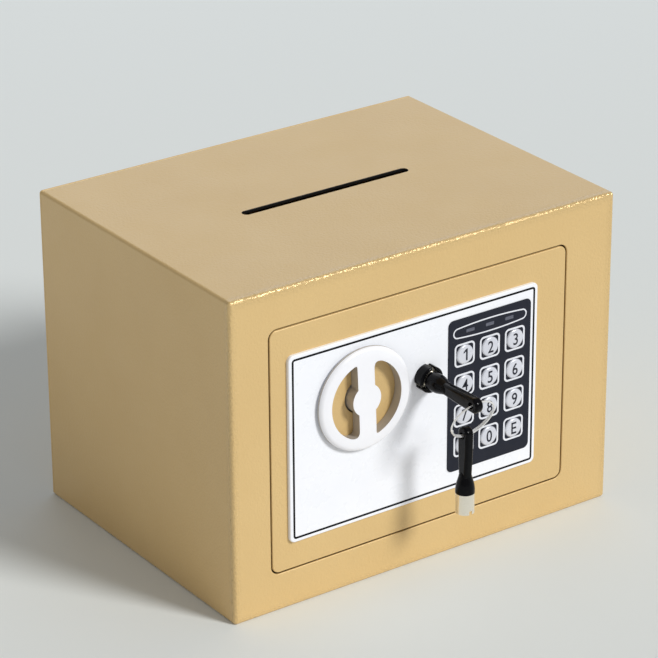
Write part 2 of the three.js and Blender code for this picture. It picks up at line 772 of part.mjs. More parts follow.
// A tubular key stands on its tube's end, its grip upwards; the shoulder is at z = 0.
function keyTube() {
  const bore = circle(0, 0, KEY_TUBE_R - KEY_TUBE_WALL);
  return alongZ(circle(0, 0, KEY_TUBE_R), -KEY_TUBE_L, 0, [bore]);
}

function keyGrip() {
  const shoulder = KEY_TUBE_R + GRIP_FLARE;
  const flare = turned([
    [0, -11], [3, -11], [3.3, -9], [shoulder * 0.8, -6.5], [shoulder * 0.95, -4.5], [shoulder, 0], [0, 0],
  ], 0, 0).rotateX(-Math.PI / 2);
  const half = GRIP_W / 2;
  const roundEnd = [0, 1, 2, 3, 4, 5, 6].map((i) => {
    const angle = (i * Math.PI) / 6;
    return [half * Math.cos(angle), GRIP_L - half + half * Math.sin(angle)];
  });
  const bow = alongX(outlineOf([
    [-half * 0.7, 3], [half * 0.7, 3], [half * 0.82, 14], ...roundEnd, [-half * 0.82, 14],
  ]), -GRIP_T / 2, GRIP_T / 2);
  const hole = alongX(circle(0, GRIP_L - GRIP_HOLE_END, GRIP_HOLE_R, 16), -GRIP_T, GRIP_T);
  return cut(join(flare, bow), hole);
}

add("lock_collar", lockCollar(), "blackPlastic");
add("lock_barrel", lockBarrel(), "steel");
add("lock_plug", lockPlug(), "steel");
add("lock_nut", lockNut(), "steel");
add("lock_cam", lockCam(), "steel");

const doorKeyHole = new THREE.Vector3(lock.x, keyShoulder - GRIP_L + GRIP_HOLE_END, lock.z);
const ringDown = new THREE.Vector3(0, Math.sin(RING_TILT), -Math.cos(RING_TILT));
const ringCentre = doorKeyHole.clone()
  .addScaledVector(ringDown, RING_R * Math.cos(RING_SLIP))
  .add(new THREE.Vector3(RING_R * Math.sin(RING_SLIP), 0, 0));
const spareKeyHole = ringCentre.clone().addScaledVector(ringDown, RING_R);

function addKey(name, x, y, z, tipForward) {
  const key = new THREE.Group();
  key.position.set(x, y, z);
  key.rotation.x = tipForward ? Math.PI / 2 : 0;
  add(`${name}_tube`, keyTube(), "nickel", key);
  add(`${name}_grip`, keyGrip(), "blackPlastic", key);
  bank.add(key);
}

addKey("door_key", lock.x, keyShoulder, lock.z, true);
addKey("spare_key", spareKeyHole.x, spareKeyHole.y, spareKeyHole.z - (GRIP_L - GRIP_HOLE_END), false);

const ring = new THREE.TorusGeometry(RING_R, RING_WIRE_R, 6, 32).rotateX(Math.PI / 2 + RING_TILT);
add("key_ring", ring, "nickel").position.copy(ringCentre);

// ---------------------------------------------------------------- inner cover and batteries

const holder = {
  x0: coverInner.x1 - CLEAR - BATTERY_L - 7,
  x1: coverInner.x1 - CLEAR,
  z0: coverInner.z0 + STUD_INSET + 5,
  wall: 1.5,
};
holder.z1 = holder.z0 + 3 * BATTERY_PITCH + 2 * (BATTERY_R + CLEAR + holder.wall);
holder.front = coverInner.back - 2 * (BATTERY_R + CLEAR) - holder.wall - 1;
const RESET_R = 3;
const reset = { x: lock.x + 24, z: coverInner.z1 - 14 };
const HATCH_LAP = 1.2;

function mechanismCover() {
  const window = rectangle(
    holder.x0 + holder.wall, holder.z0 + holder.wall, holder.x1 - holder.wall, holder.z1 - holder.wall,
  );
  const through = [cover.back - COVER_WALL - 1, cover.back + 1];
  return cut(
    box(cover.x0, cover.x1, door.inner, cover.back, cover.z0, cover.z1),
    box(coverInner.x0, coverInner.x1, door.inner - 1, coverInner.back, coverInner.z0, coverInner.z1),
    alongY(window, ...through),
    alongY(circle(reset.x, reset.z, RESET_R + CLEAR), ...through),
    ...studs.map(([x, z]) => alongY(circle(x, z, SCREW_R + CLEAR, 12), ...through)),
    ...boltZ.map((z) =>
      alongX(circle(boltY, z, BOLT_R + BUSH_WALL + 2 * CLEAR), cover.x0 - 1, coverInner.x0 + 1)),
  );
}

function coverScrew([x, z]) {
  const head = cover.back + 1.6;
  return turned([
    [0, cover.back - 9], [SCREW_R, cover.back - 8.5], [SCREW_R, cover.back],
    [3, cover.back], [3, head - 0.6], [2.2, head], [0, head],
  ], x, z, 16);
}

function batteryHolder() {
  const { x0, x1, z0, z1, wall, front } = holder;
  return cut(
    box(x0, x1, front, coverInner.back, z0, z1),
    box(x0 + wall, x1 - wall, front + wall, coverInner.back + 1, z0 + wall, z1 - wall),
  );
}

function battery(i) {
  const x0 = holder.x0 + holder.wall + CLEAR;
  const z = holder.z0 + holder.wall + CLEAR + BATTERY_R + i * BATTERY_PITCH;
  const y = holder.front + holder.wall + CLEAR + BATTERY_R;
  const nub = 1.2;
  const cell = turned([
    [0, 0], [BATTERY_R - 0.4, 0], [BATTERY_R, 0.4], [BATTERY_R, BATTERY_L - nub - 0.4],
    [BATTERY_R - 0.4, BATTERY_L - nub], [2.6, BATTERY_L - nub], [2.6, BATTERY_L], [0, BATTERY_L],
  ], 0, 0, 16).rotateZ(-Math.PI / 2);
  const flipped = i % 2 ? cell.rotateY(Math.PI).translate(BATTERY_L, 0, 0) : cell;
  return flipped.translate(x0 + 1.5, y, z);
}

function batteryCover() {
  const { x0, x1, z0, z1, wall } = holder;
  const lid = alongY(
    roundedRectangle(x0 - HATCH_LAP, z0 - HATCH_LAP, x1 + COVER_WALL, z1 + HATCH_LAP, 2),
    cover.back, cover.back + 1.5,
  );
  const plugIn = wall + CLEAR;
  const tongue = box(
    x0 + plugIn, x1 - plugIn, cover.back - COVER_WALL, cover.back + 0.5, z0 + plugIn, z1 - plugIn,
  );
  return join(lid, tongue);
}

function resetButton() {
  const flange = coverInner.back - 1.5 - CLEAR;
  return turned([
    [0, flange - 1.2], [RESET_R + 1, flange - 1.2], [RESET_R + 1, coverInner.back - CLEAR],
    [RESET_R, coverInner.back - CLEAR], [RESET_R, cover.back + 1.6],
    [RESET_R - 0.5, cover.back + 2.1], [0, cover.back + 2.1],
  ], reset.x, reset.z, 20);
}

add("mechanism_cover", mechanismCover(), "powderCoat");
studs.forEach((place, i) => add(`cover_screw_${i + 1}`, coverScrew(place), "steel"));
add("battery_holder", batteryHolder(), "blackPlastic");
for (let i = 0; i < 4; i++) add(`battery_${i + 1}`, battery(i), "batteryJacket");
add("battery_cover", batteryCover(), "blackPlastic");
add("reset_button", resetButton(), "blackPlastic");

export default bank;
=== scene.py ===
# %% [markdown]
# # A toy cash machine savings bank
# The bank is a small steel safe: a folded case with a banknote slot, a hinged door, a white
# faceplate with a bolt knob, a push-key panel and an emergency lock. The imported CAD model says
# where every piece is, so this lesson loads it first and takes its sizes from it.

# %% Load the frame
import math

import bmesh
import bpy
from mathutils import Matrix, Vector


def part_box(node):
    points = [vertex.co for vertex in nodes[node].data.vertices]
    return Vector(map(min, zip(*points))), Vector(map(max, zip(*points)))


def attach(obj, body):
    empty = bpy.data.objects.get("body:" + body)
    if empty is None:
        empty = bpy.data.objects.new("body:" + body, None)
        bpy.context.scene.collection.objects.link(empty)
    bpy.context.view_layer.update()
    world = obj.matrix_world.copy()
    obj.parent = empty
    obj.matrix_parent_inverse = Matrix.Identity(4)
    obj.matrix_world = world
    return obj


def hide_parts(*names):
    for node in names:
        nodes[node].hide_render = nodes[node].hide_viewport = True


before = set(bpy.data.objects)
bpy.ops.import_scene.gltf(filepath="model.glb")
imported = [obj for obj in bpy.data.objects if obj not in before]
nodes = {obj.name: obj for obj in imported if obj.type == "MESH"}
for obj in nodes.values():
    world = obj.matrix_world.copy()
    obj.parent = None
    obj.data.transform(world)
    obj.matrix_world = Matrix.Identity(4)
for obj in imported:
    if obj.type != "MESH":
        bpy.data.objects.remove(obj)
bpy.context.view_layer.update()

# %% [markdown]
# ## The camera
# A long lens from the left, in front and above, keeps the upright edges almost parallel. The
# camera is placed with two points, the eye and the aim, because they are easier to read than
# three angles, and a small roll about the line of sight levels it.

# %% Camera
EYE = Vector((-0.8495, -1.2048, 0.7692))
AIM = Vector((0.0244, 0.0329, 0.0759))
ROLL = math.radians(-0.33)
FOCAL_LENGTH = 175.1


def add_object(name, data):
    obj = bpy.data.objects.new(name, data)
    bpy.context.scene.collection.objects.link(obj)
    return obj


camera = add_object("camera", bpy.data.cameras.new("camera"))
camera.data.lens = FOCAL_LENGTH
camera.data.sensor_width = 36.0
camera.data.clip_end = 50.0
turn_to_aim = (AIM - EYE).to_track_quat("-Z", "Y").to_matrix().to_4x4()
camera.matrix_world = Matrix.Translation(EYE) @ turn_to_aim @ Matrix.Rotation(ROLL, 4, "Z")
bpy.context.scene.camera = camera
bpy.context.scene.view_settings.view_transform = "Standard"
print("camera", round((AIM - EYE).length, 3), "m from the bank")

# %% [markdown]
# ## Node helpers
# Materials and Geometry Nodes trees are both written the same way: a node is added, its settings
# are made, and each of its inputs gets a value or a link. A few helpers say that once, so that
# the trees further down read like recipes.

# %% Node helpers
def feed(node, inputs):
    """Gives each named input a value, or a link where it is given another node's socket."""
    for name, value in inputs.items():
        if isinstance(value, bpy.types.NodeSocket):
            node.id_data.links.new(value, node.inputs[name])
        else:
            node.inputs[name].default_value = value
    return node


def add_node(tree, kind, inputs=None, **settings):
    """The settings come first, because they decide which inputs the node has."""
    node = tree.nodes.new(kind)
    for name, value in settings.items():
        setattr(node, name, value)
    return feed(node, inputs or {})


def maths(tree, operation, *values):
    return add_node(tree, "ShaderNodeMath", dict(enumerate(values)), operation=operation).outputs[0]


def mixed(tree, factor, a, b):
    """Colour a where the factor is 0, and colour b where it is 1."""
    inputs = {"Factor": factor, "A": a, "B": b}
    return add_node(tree, "ShaderNodeMix", inputs, data_type="RGBA").outputs["Result"]


def blend(tree, value, start, end):
    """Goes from start to end as the value goes from 0 to 1."""
    inputs = {"Value": value, "To Min": start, "To Max": end}
    return add_node(tree, "ShaderNodeMapRange", inputs).outputs["Result"]


print("node helpers ready")

# %% [markdown]
# A group or a Geometry Nodes tree has named sockets of its own, and a material starts with one
# Principled shader. Colours are written as a screen shows them and turned into linear light,
# because that is what a node adds and multiplies.

# %% Trees, materials and colours
def new_tree(name, kind, inputs, outputs):
    """A node tree with named sockets, each given as its label, its kind and, if it has one, its value."""
    tree = bpy.data.node_groups.new(name, kind)
    for in_out, sockets in (("INPUT", inputs), ("OUTPUT", outputs)):
        for label, socket_kind, *value in sockets:
            socket = tree.interface.new_socket(label, in_out=in_out, socket_type="NodeSocket" + socket_kind)
            if value:
                socket.default_value = value[0]
    return tree, tree.nodes.new("NodeGroupInput").outputs, tree.nodes.new("NodeGroupOutput")


def new_material(name):
    material = bpy.data.materials.new(name)
    material.use_nodes = True
    return material, material.node_tree, material.node_tree.nodes["Principled BSDF"]


def srgb(red, green, blue):
    """A screen colour, 0 to 255, as the linear colour that a node wants."""
    def linear(value):
        value /= 255
        return value / 12.92 if value <= 0.04045 else ((value + 0.055) / 1.055) ** 2.4
    return (linear(red), linear(green), linear(blue), 1.0)


print("trees, materials and colours ready")

# %% [markdown]
# ## The studio
# One broad sun from the right, in front and above gives the bright front, a bright top and a
# left side in shade, and its wide disc keeps the shadow soft. The world is a plain grey fill.
# A large softbox behind the bank is mirrored in the lacquer of the top, which turns it paler.
# The floor is nearly white to the eye and in reflections, as a paper sweep is, and bounces light
# like a plain white surface.

# %% Lights and floor
SUN_FROM = Vector((0.36, -0.74, 0.58))
SUN_STRENGTH = 2.28
SUN_ANGLE = math.radians(15)
FILL = 0.33
SOFTBOX_AT = Vector((1.25, 1.75, 1.1))
SOFTBOX_SIZE = 1.8
SOFTBOX_POWER = 7.5
SOFTBOX_TINT = (0.74, 0.84, 1.0)
FLOOR_HALF = 12.0
FLOOR_BOUNCE = (242, 242, 242)
FLOOR_SEEN = (232, 236, 234)


def add_lamp(name, kind, place, power, **settings):
    """A lamp at a place, shining back to the origin."""
    light = bpy.data.lights.new(name, kind)
    light.energy = power
    for setting, value in settings.items():
        setattr(light, setting, value)
    lamp = add_object(name, light)
    lamp.location = place
    lamp.rotation_euler = place.to_track_quat("Z", "Y").to_euler()


def add_fill():
    world = bpy.data.worlds.new("studio")
    world.use_nodes = True
    feed(world.node_tree.nodes["Background"], {"Color": (FILL, FILL, FILL, 1.0)})
    bpy.context.scene.world = world


def floor_material():
    material, tree, shader = new_material("pale studio floor")
    path = add_node(tree, "ShaderNodeLightPath").outputs
    seen = path["Is Camera Ray"]
    for other in ("Is Glossy Ray", "Is Transmission Ray"):
        seen = maths(tree, "MAXIMUM", seen, path[other])
    colour = mixed(tree, seen, srgb(*FLOOR_BOUNCE), srgb(*FLOOR_SEEN))
    feed(shader, {"Base Color": colour, "Roughness": 1.0, "Specular IOR Level": 0.0})
    return material


def add_floor():
    mesh = bpy.data.meshes.new("studio_floor")
    corners = [(x * FLOOR_HALF, y * FLOOR_HALF, 0) for x, y in ((-1, -1), (1, -1), (1, 1), (-1, 1))]
    mesh.from_pydata(corners, [], [(0, 1, 2, 3)])
    mesh.materials.append(floor_material())
    add_object("studio_floor", mesh)


add_lamp("window sun", "SUN", SUN_FROM, SUN_STRENGTH, angle=SUN_ANGLE)
add_lamp("softbox", "AREA", SOFTBOX_AT, SOFTBOX_POWER, shape="SQUARE", size=SOFTBOX_SIZE, color=SOFTBOX_TINT)
add_fill()
add_floor()
print("studio: a sun, a softbox, a fill and a floor")

# %% [markdown]
# ## Grain groups
# Paint, plastic and metal all vary over their surface. Each kind of variation is a shader node
# group, built once, with the same three outputs: Tone shifts the colour, Smudge shifts the
# roughness, and Height is the relief. They read Object coordinates, so the grain stays at its
# real size on a large wall and on a small screw.

# %% Helpers for the grain groups
def new_grain(name, sizes):
    """An empty shader group: a Vector and some sizes in metres go in, and the three outputs come out."""
    inputs = [("Vector", "Vector")] + [(label, "Float", value) for label, value in sizes.items()]
    outputs = [(label, "Float") for label in ("Tone", "Smudge", "Height")]
    return new_tree(name, "ShaderNodeTree", inputs, outputs)


def scaled(group, vector, size):
    """The vector divided by a size, so that one cell of a texture is that many metres."""
    inputs = {0: vector, "Scale": maths(group, "DIVIDE", 1.0, size)}
    return add_node(group, "ShaderNodeVectorMath", inputs, operation="SCALE").outputs[0]


def noise(group, vector, scale, detail=2.0, rough=0.5):
    inputs = {"Vector": vector, "Scale": scale, "Detail": detail, "Roughness": rough}
    return add_node(group, "ShaderNodeTexNoise", inputs).outputs["Fac"]


def ramp(group, value, low, high):
    """0 where the value is low or less, and 1 where it is high or more."""
    inputs = {"Value": value, "From Min": low, "From Max": high}
    return add_node(group, "ShaderNodeMapRange", inputs).outputs["Result"]


print("grain helpers ready")

# %% [markdown]
# Hammered paint dries in small rounded cells about a millimetre across, with finer orange peel
# between them. Smooth Voronoi cells give the beads and noise gives the peel.

# %% Hammered coat
def hammered_coat():
    group, given, end = new_grain("hammered coat", {"Cell Size": 0.0013})
    place = scaled(group, given["Vector"], given["Cell Size"])
    cells = add_node(group, "ShaderNodeTexVoronoi", {"Vector": place, "Scale": 1.0, "Smoothness": 0.6},
                     feature="SMOOTH_F1")
    beads = maths(group, "SUBTRACT", 1.0, cells.outputs["Distance"])
    peel, drift = noise(group, place, 2.6), noise(group, place, 0.03)
    feed(end, {
        "Tone": maths(group, "MULTIPLY_ADD", peel, 0.5, maths(group, "MULTIPLY", drift, 0.5)),
        "Smudge": ramp(group, noise(group, place, 0.05, 3.0), 0.35, 0.7),
        "Height": maths(group, "MULTIPLY_ADD", peel, 0.5, beads),
    })
    return group


HAMMERED = hammered_coat()
print("group", HAMMERED.name)

# %% [markdown]
# Moulded plastic and printed film are almost smooth: a very fine spark texture, with faint
# finger smudges that only change the roughness.

# %% Moulded skin
def moulded_skin():
    group, given, end = new_grain("moulded skin", {"Grain Size": 0.00025, "Smudge Size": 0.02})
    fine = scaled(group, given["Vector"], given["Grain Size"])
    broad = scaled(group, given["Vector"], given["Smudge Size"])
    feed(end, {
        "Tone": noise(group, broad, 1.3, 3.0),
        "Smudge": ramp(group, noise(group, broad, 2.0, 4.0, 0.6), 0.4, 0.75),
        "Height": noise(group, fine, 1.0),
    })
    return group


MOULDED = moulded_skin()
print("group", MOULDED.name)

# %% [markdown]
# Drawn or plated metal keeps fine lines along the way it was worked. The same noise, squeezed
# on two axes and left long on the third, becomes such lines.

# %% Drawn metal
def drawn_metal():
    group, given, end = new_grain("drawn metal", {"Line Width": 0.0002, "Line Length": 0.006})
    split = add_node(group, "ShaderNodeSeparateXYZ", {0: given["Vector"]}).outputs
    squeezed = add_node(group, "ShaderNodeCombineXYZ", {
        axis: maths(group, "DIVIDE", split[axis], given[size])
        for axis, size in (("X", "Line Length"), ("Y", "Line Width"), ("Z", "Line Width"))})
    lines = noise(group, squeezed.outputs[0], 1.0, 3.0)
    cloud = noise(group, scaled(group, given["Vector"], given["Line Length"]), 1.0, 3.0)
    feed(end, {"Tone": lines, "Smudge": ramp(group, cloud, 0.35, 0.7), "Height": lines})
    return group


DRAWN = drawn_metal()
print("group", DRAWN.name)

# %% [markdown]
# Felt is short fibres lying every way, and a wound coil is round wires side by side. Both are
# soft repeating relief: noise at two scales for the fibres, a wave for the wires.

# %% Felt nap and wound wire
WAVES_PER_UNIT = 3.2


def felt_nap():
    group, given, end = new_grain("felt nap", {"Fibre Size": 0.0006})
    place = scaled(group, given["Vector"], given["Fibre Size"])
    fibres, tufts = noise(group, place, 1.0, 5.0, 0.75), noise(group, place, 0.12)
    nap = maths(group, "MULTIPLY_ADD", tufts, 0.6, fibres)
    feed(end, {"Tone": ramp(group, nap, 0.4, 1.1), "Smudge": tufts, "Height": nap})
    return group


def wound_wire():
    group, given, end = new_grain("wound wire", {"Wire Pitch": 0.0005})
    place = scaled(group, given["Vector"], given["Wire Pitch"])
    wires = add_node(group, "ShaderNodeTexWave", {"Vector": place, "Scale": 1 / WAVES_PER_UNIT},
                     bands_direction="Z").outputs["Fac"]
    feed(end, {"Tone": wires, "Smudge": noise(group, place, 0.1), "Height": wires})
    return group


FELT = felt_nap()
WOUND = wound_wire()
print("groups", FELT.name, "and", WOUND.name)

# %% [markdown]
# ## Finishes
# Every finish is one Principled shader: two tones mixed by the group's Tone, a roughness
# between two limits by its Smudge, and a Bump from its Height. What is the same all over the
# piece is set straight on the shader's own sockets, by their own names.

# %% A finish from a grain group
def finish(name, light, dark, rough, group, relief, steady, sizes=None):
    """rough is the least and the most roughness, and relief the Bump's strength and distance in metres."""
    material, tree, shader = new_material(name)
    where = add_node(tree, "ShaderNodeTexCoord").outputs["Object"]
    grain = add_node(tree, "ShaderNodeGroup", {"Vector": where, **(sizes or {})}, node_tree=group).outputs
    strength, distance = relief
    bump = add_node(tree, "ShaderNodeBump", {
        "Strength": strength, "Distance": distance, "Height": grain["Height"]})
    feed(shader, {
        "Base Color": mixed(tree, grain["Tone"], srgb(*dark), srgb(*light)),
        "Roughness": blend(tree, grain["Smudge"], *rough),
        "Normal": bump.outputs["Normal"],
        **steady,
    })
    return material


print("finish helper ready")

# %% [markdown]
# Some places want a second look: the paint is coarser and shinier on the front fold, and the
# walls of the banknote slot and of the knob's windows are painted darker, as painted shade for
# the shade that falls inside them. A second material would end in a hard line, so the mesh stores
# a mark instead, a number from 0 to 1 on each point or face, and the material blends with it. A
# mesh that stores no mark reads 0 and stays plain.

# %% Marks
FOLD_RELIEF = 4.0
FOLD_ROUGH = 0.5
GOLD_METALLIC = (0.12, 0.25)
GOLD_COAT_WEIGHT = (0.15, 0.25)
# Painted shade: near black for the slot walls, grey for the knob's deep walls and the back of its rim.
SLOT_PAINTED_SHADE = (24, 22, 20)
KNOB_PAINTED_SHADE = (180, 174, 166)


def marked_shade():
    group, given, end = new_tree(
        "marked shade", "ShaderNodeTree",
        [("Plain", "Color"), ("Marked", "Color"), ("Mark", "Float")], [("Shade", "Color")])
    feed(end, {"Shade": mixed(group, given["Mark"], given["Plain"], given["Marked"])})
    return group


def stored_mark(tree, attribute):
    return add_node(tree, "ShaderNodeAttribute", attribute_name=attribute).outputs["Fac"]


def feeding(node, name):
    """The socket that feeds a node's input now."""
    return node.inputs[name].links[0].from_socket


def shade_marked(material, attribute, colour):
    """Paints shade into the base colour: it turns to a darker one where the mesh is marked."""
    tree = material.node_tree
    shader = tree.nodes["Principled BSDF"]
    shade = add_node(tree, "ShaderNodeGroup", node_tree=MARKED_SHADE)
    feed(shade, {"Plain": feeding(shader, "Base Color"), "Marked": srgb(*colour),
                 "Mark": stored_mark(tree, attribute)})
    feed(shader, {"Base Color": shade.outputs["Shade"]})


def roughen_fold(material):
    """On the fold the paint's relief is deeper, and it shines more."""
    tree = material.node_tree
    shader, bump = tree.nodes["Principled BSDF"], tree.nodes["Bump"]
    fold = stored_mark(tree, "fold")
    gain = blend(tree, fold, 1.0, FOLD_RELIEF)
    feed(bump, {"Height": maths(tree, "MULTIPLY", feeding(bump, "Height"), gain)})
    calm = blend(tree, fold, 1.0, FOLD_ROUGH)
    feed(shader, {
        "Roughness": maths(tree, "MULTIPLY", feeding(shader, "Roughness"), calm),
        "Metallic": blend(tree, fold, *GOLD_METALLIC),
        "Coat Weight": blend(tree, fold, *GOLD_COAT_WEIGHT),
    })


MARKED_SHADE = marked_shade()
print("group", MARKED_SHADE.name)

# %% [markdown]
# Each finish is named for what it is on the bank. The first two colours are its light and dark
# tone, close together on clean new plastic and further apart on metal.

# %% Finishes for the outside
FLAT_INK = (0.04, 0.00002)
SOFT_COAT = {"Coat Weight": 0.2, "Coat Roughness": 0.2}
GOLD_COAT = finish(
    "gold hammered coat", (228, 197, 138), (214, 180, 120), (0.37, 0.43), HAMMERED, (0.5, 0.0002),
    {"Metallic": GOLD_METALLIC[0], "Coat Weight": GOLD_COAT_WEIGHT[0], "Coat Roughness": 0.22})
roughen_fold(GOLD_COAT)
# Painted shade: the slot walls are painted near black for the shade inside the slot.
shade_marked(GOLD_COAT, "slot_shade", SLOT_PAINTED_SHADE)
WHITE_FACE = finish(
    "white faceplate enamel", (250, 252, 255), (244, 247, 253), (0.26, 0.34), MOULDED, (0.02, 0.00001),
    SOFT_COAT)
NAVY_FILM = finish(
    "navy overlay film", (36, 39, 51), (27, 30, 41), (0.36, 0.46), MOULDED, (0.08, 0.00002),
    {"Specular IOR Level": 0.2})
WHITE_PRINT = finish(
    "white printed line", (238, 240, 245), (226, 229, 236), (0.4, 0.5), MOULDED, FLAT_INK, {})
BLACK_PRINT = finish(
    "black printed line", (14, 14, 20), (6, 6, 11), (0.5, 0.6), MOULDED, FLAT_INK,
    {"Specular IOR Level": 0.2})
KEY_SILVER = finish(
    "silver push key plastic", (236, 238, 245), (214, 217, 227), (0.26, 0.36), MOULDED, (0.04, 0.00002),
    {"Metallic": 0.3})
KNOB_SILVER = finish(
    "pearl silver knob plastic", (252, 253, 255), (245, 246, 251), (0.28, 0.36), MOULDED, (0.02, 0.00001),
    {"Metallic": 0.05, **SOFT_COAT})
# Painted shade: the knob's deep window walls and the back of its rim are painted greyer.
shade_marked(KNOB_SILVER, "recess", KNOB_PAINTED_SHADE)
LEGEND_GREY = finish(
    "dark grey legend ink", (44, 46, 56), (32, 34, 44), (0.5, 0.6), MOULDED, FLAT_INK,
    {"Specular IOR Level": 0.2})
BLACK_GLOSS = finish(
    "black gloss plastic", (9, 9, 12), (4, 4, 6), (0.12, 0.2), MOULDED, (0.03, 0.00003),
    {"Specular IOR Level": 0.13})
NICKEL = finish(
    "bright nickel plate", (253, 249, 238), (236, 228, 210), (0.14, 0.26), DRAWN, (0.06, 0.00003),
    {"Metallic": 0.85})
RING_WIRE = finish(
    "polished ring wire", (252, 252, 252), (238, 238, 238), (0.2, 0.3), DRAWN, (0.04, 0.00002),
    {"Metallic": 0.5})
LAMP_LENS = finish(
    "unlit lamp lens", (104, 107, 120), (82, 85, 98), (0.18, 0.3), MOULDED, (0.1, 0.00005), {})
print(len(bpy.data.materials), "finishes")

# %% [markdown]
# Behind the door the finishes are those of any small mechanism: zinc, black plastic, copper, a
# circuit board, battery jackets and felt.

# %% Finishes for the inside
BLACK_MATT = finish(
    "black matt plastic", (38, 38, 42), (26, 26, 30), (0.45, 0.6), MOULDED, (0.25, 0.00006), {},
    {"Grain Size": 0.0006})
ZINC = finish(
    "zinc plated steel", (196, 198, 204), (158, 161, 168), (0.26, 0.42), DRAWN, (0.12, 0.00004),
    {"Metallic": 1.0})
COPPER = finish(
    "enamelled copper wire", (196, 112, 54), (140, 70, 30), (0.25, 0.35), WOUND, (0.5, 0.0002),
    {"Metallic": 0.8})
BOARD_GREEN = finish(
    "green circuit board", (38, 122, 72), (24, 92, 52), (0.3, 0.45), DRAWN, (0.2, 0.00006), {},
    {"Line Width": 0.0012, "Line Length": 0.009})
JACKET = finish(
    "green battery jacket", (66, 112, 84), (50, 92, 68), (0.28, 0.4), MOULDED, (0.05, 0.00003), {})
GREY_FELT = finish(
    "grey felt", (112, 116, 122), (70, 74, 80), (0.9, 1.0), FELT, (0.8, 0.0006), {"Sheen Weight": 0.4})
print(len(bpy.data.materials), "finishes")

# %% [markdown]
# ## Building meshes
# The pieces are built in millimetres, the unit a maker would use, and scaled once when the mesh
# is made. A bmesh is the editable form of a mesh: it is opened, changed in steps and written back.

# %% Units and mesh edits
MM = 0.001


def span(node):
    """A CAD node's lowest and highest corners, in millimetres."""
    low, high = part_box(node)
    return low / MM, high / MM


def middle_of(node, axes="xz"):
    """The middle of a CAD node on the given axes."""
    low, high = span(node)
    return [(getattr(low, axis) + getattr(high, axis)) / 2 for axis in axes]


def new_piece(name, points, faces):
    mesh = bpy.data.meshes.new(name)
    mesh.from_pydata([Vector(point) * MM for point in points], [], faces)
    mesh.update()
    return add_object(name, mesh)


def edit(obj, *steps):
    """Runs each step, a function of a bmesh, on the object's mesh."""
    bm = bmesh.new()
    bm.from_mesh(obj.data)
    for step in steps:
        step(bm)
    bm.to_mesh(obj.data)
    bm.free()
    obj.data.update()


def merge_doubles(bm):
    bmesh.ops.remove_doubles(bm, verts=bm.verts, dist=1e-6)


def face_outwards(bm):
    bmesh.ops.recalc_face_normals(bm, faces=bm.faces)


def dissolve_flats(bm):
    bmesh.ops.dissolve_limit(bm, angle_limit=math.radians(0.5), verts=bm.verts, edges=bm.edges)


print("mesh edits ready, 1 unit =", MM, "m")

# %% [markdown]
# Modifiers do the hard cuts: a Boolean for holes, a Bevel for soft edges, and Weighted Normals so
# that large flats shade flat beside a small rounding. Each is baked into a plain mesh at once,
# because the next cut has to see its result.

# %% Cutting and rounding
def visible_mesh(obj):
    bpy.context.view_layer.update()
    graph = bpy.context.evaluated_depsgraph_get()
    return bpy.data.meshes.new_from_object(obj.evaluated_get(graph))


def bake(obj):
    """Turns what the modifiers show into a plain mesh and takes them off."""
    before, result = obj.data, visible_mesh(obj)
    obj.modifiers.clear()
    obj.data = result
    bpy.data.meshes.remove(before)
    return obj


def smooth(obj, angle=35):
    obj.data.shade_smooth()
    obj.data.set_sharp_from_angle(angle=math.radians(angle))
    return obj


def even_out(obj, angle=40):
    smooth(obj, angle)
    normals = obj.modifiers.new("flats", "WEIGHTED_NORMAL")
    normals.keep_sharp = True
    return bake(obj)


def soften(obj, width, segments=3, angle=32):
    """Rounds the edges sharper than an angle, then evens out the shading over the flats."""
    edit(obj, dissolve_flats)
    bevel = obj.modifiers.new("edge", "BEVEL")
    bevel.width = width * MM
    bevel.segments = segments
    bevel.limit_method = "ANGLE"
    bevel.angle_limit = math.radians(angle)
    bake(obj)
    return even_out(obj)


def carve(obj, *tools, how="DIFFERENCE"):
    """Cuts the tools out of obj, or joins them to it, and throws the tools away."""
    for tool in tools:
        step = obj.modifiers.new("carve", "BOOLEAN")
        step.operation = how
        step.solver = "EXACT"
        step.object = tool
    bake(obj)
    for tool in tools:
        bpy.data.objects.remove(tool)
    edit(obj, merge_doubles)
    return obj


print("cutting and rounding ready")

# %% [markdown]
# Most pieces are rings of points joined by bands of faces: a loft. Folded sheet is a loft of
# rounded rectangles. A turned piece is a profile swept round an axis, as on a lathe, and its
# poles are single points so that the ends close cleanly.

# %% Loft and turn
AXES = {"X": (1, 2, 0), "Y": (0, 2, 1), "Z": (0, 1, 2)}


def loft(name, rings, closed=False):
    """Bands of faces between rings with equal numbers of points, with end caps unless closed."""
    count = len(rings[0])
    pairs = [(k, k + 1) for k in range(len(rings) - 1)]
    if closed:
        pairs.append((len(rings) - 1, 0))
    faces = []
    for a, b in pairs:
        for i in range(count):
            j = (i + 1) % count
            faces.append((a * count + i, a * count + j, b * count + j, b * count + i))
    if not closed:
        last = (len(rings) - 1) * count
        faces.append(tuple(reversed(range(count))))
        faces.append(tuple(range(last, last + count)))
    obj = new_piece(name, [point for ring in rings for point in ring], faces)
    edit(obj, merge_doubles, face_outwards)
    return smooth(obj)


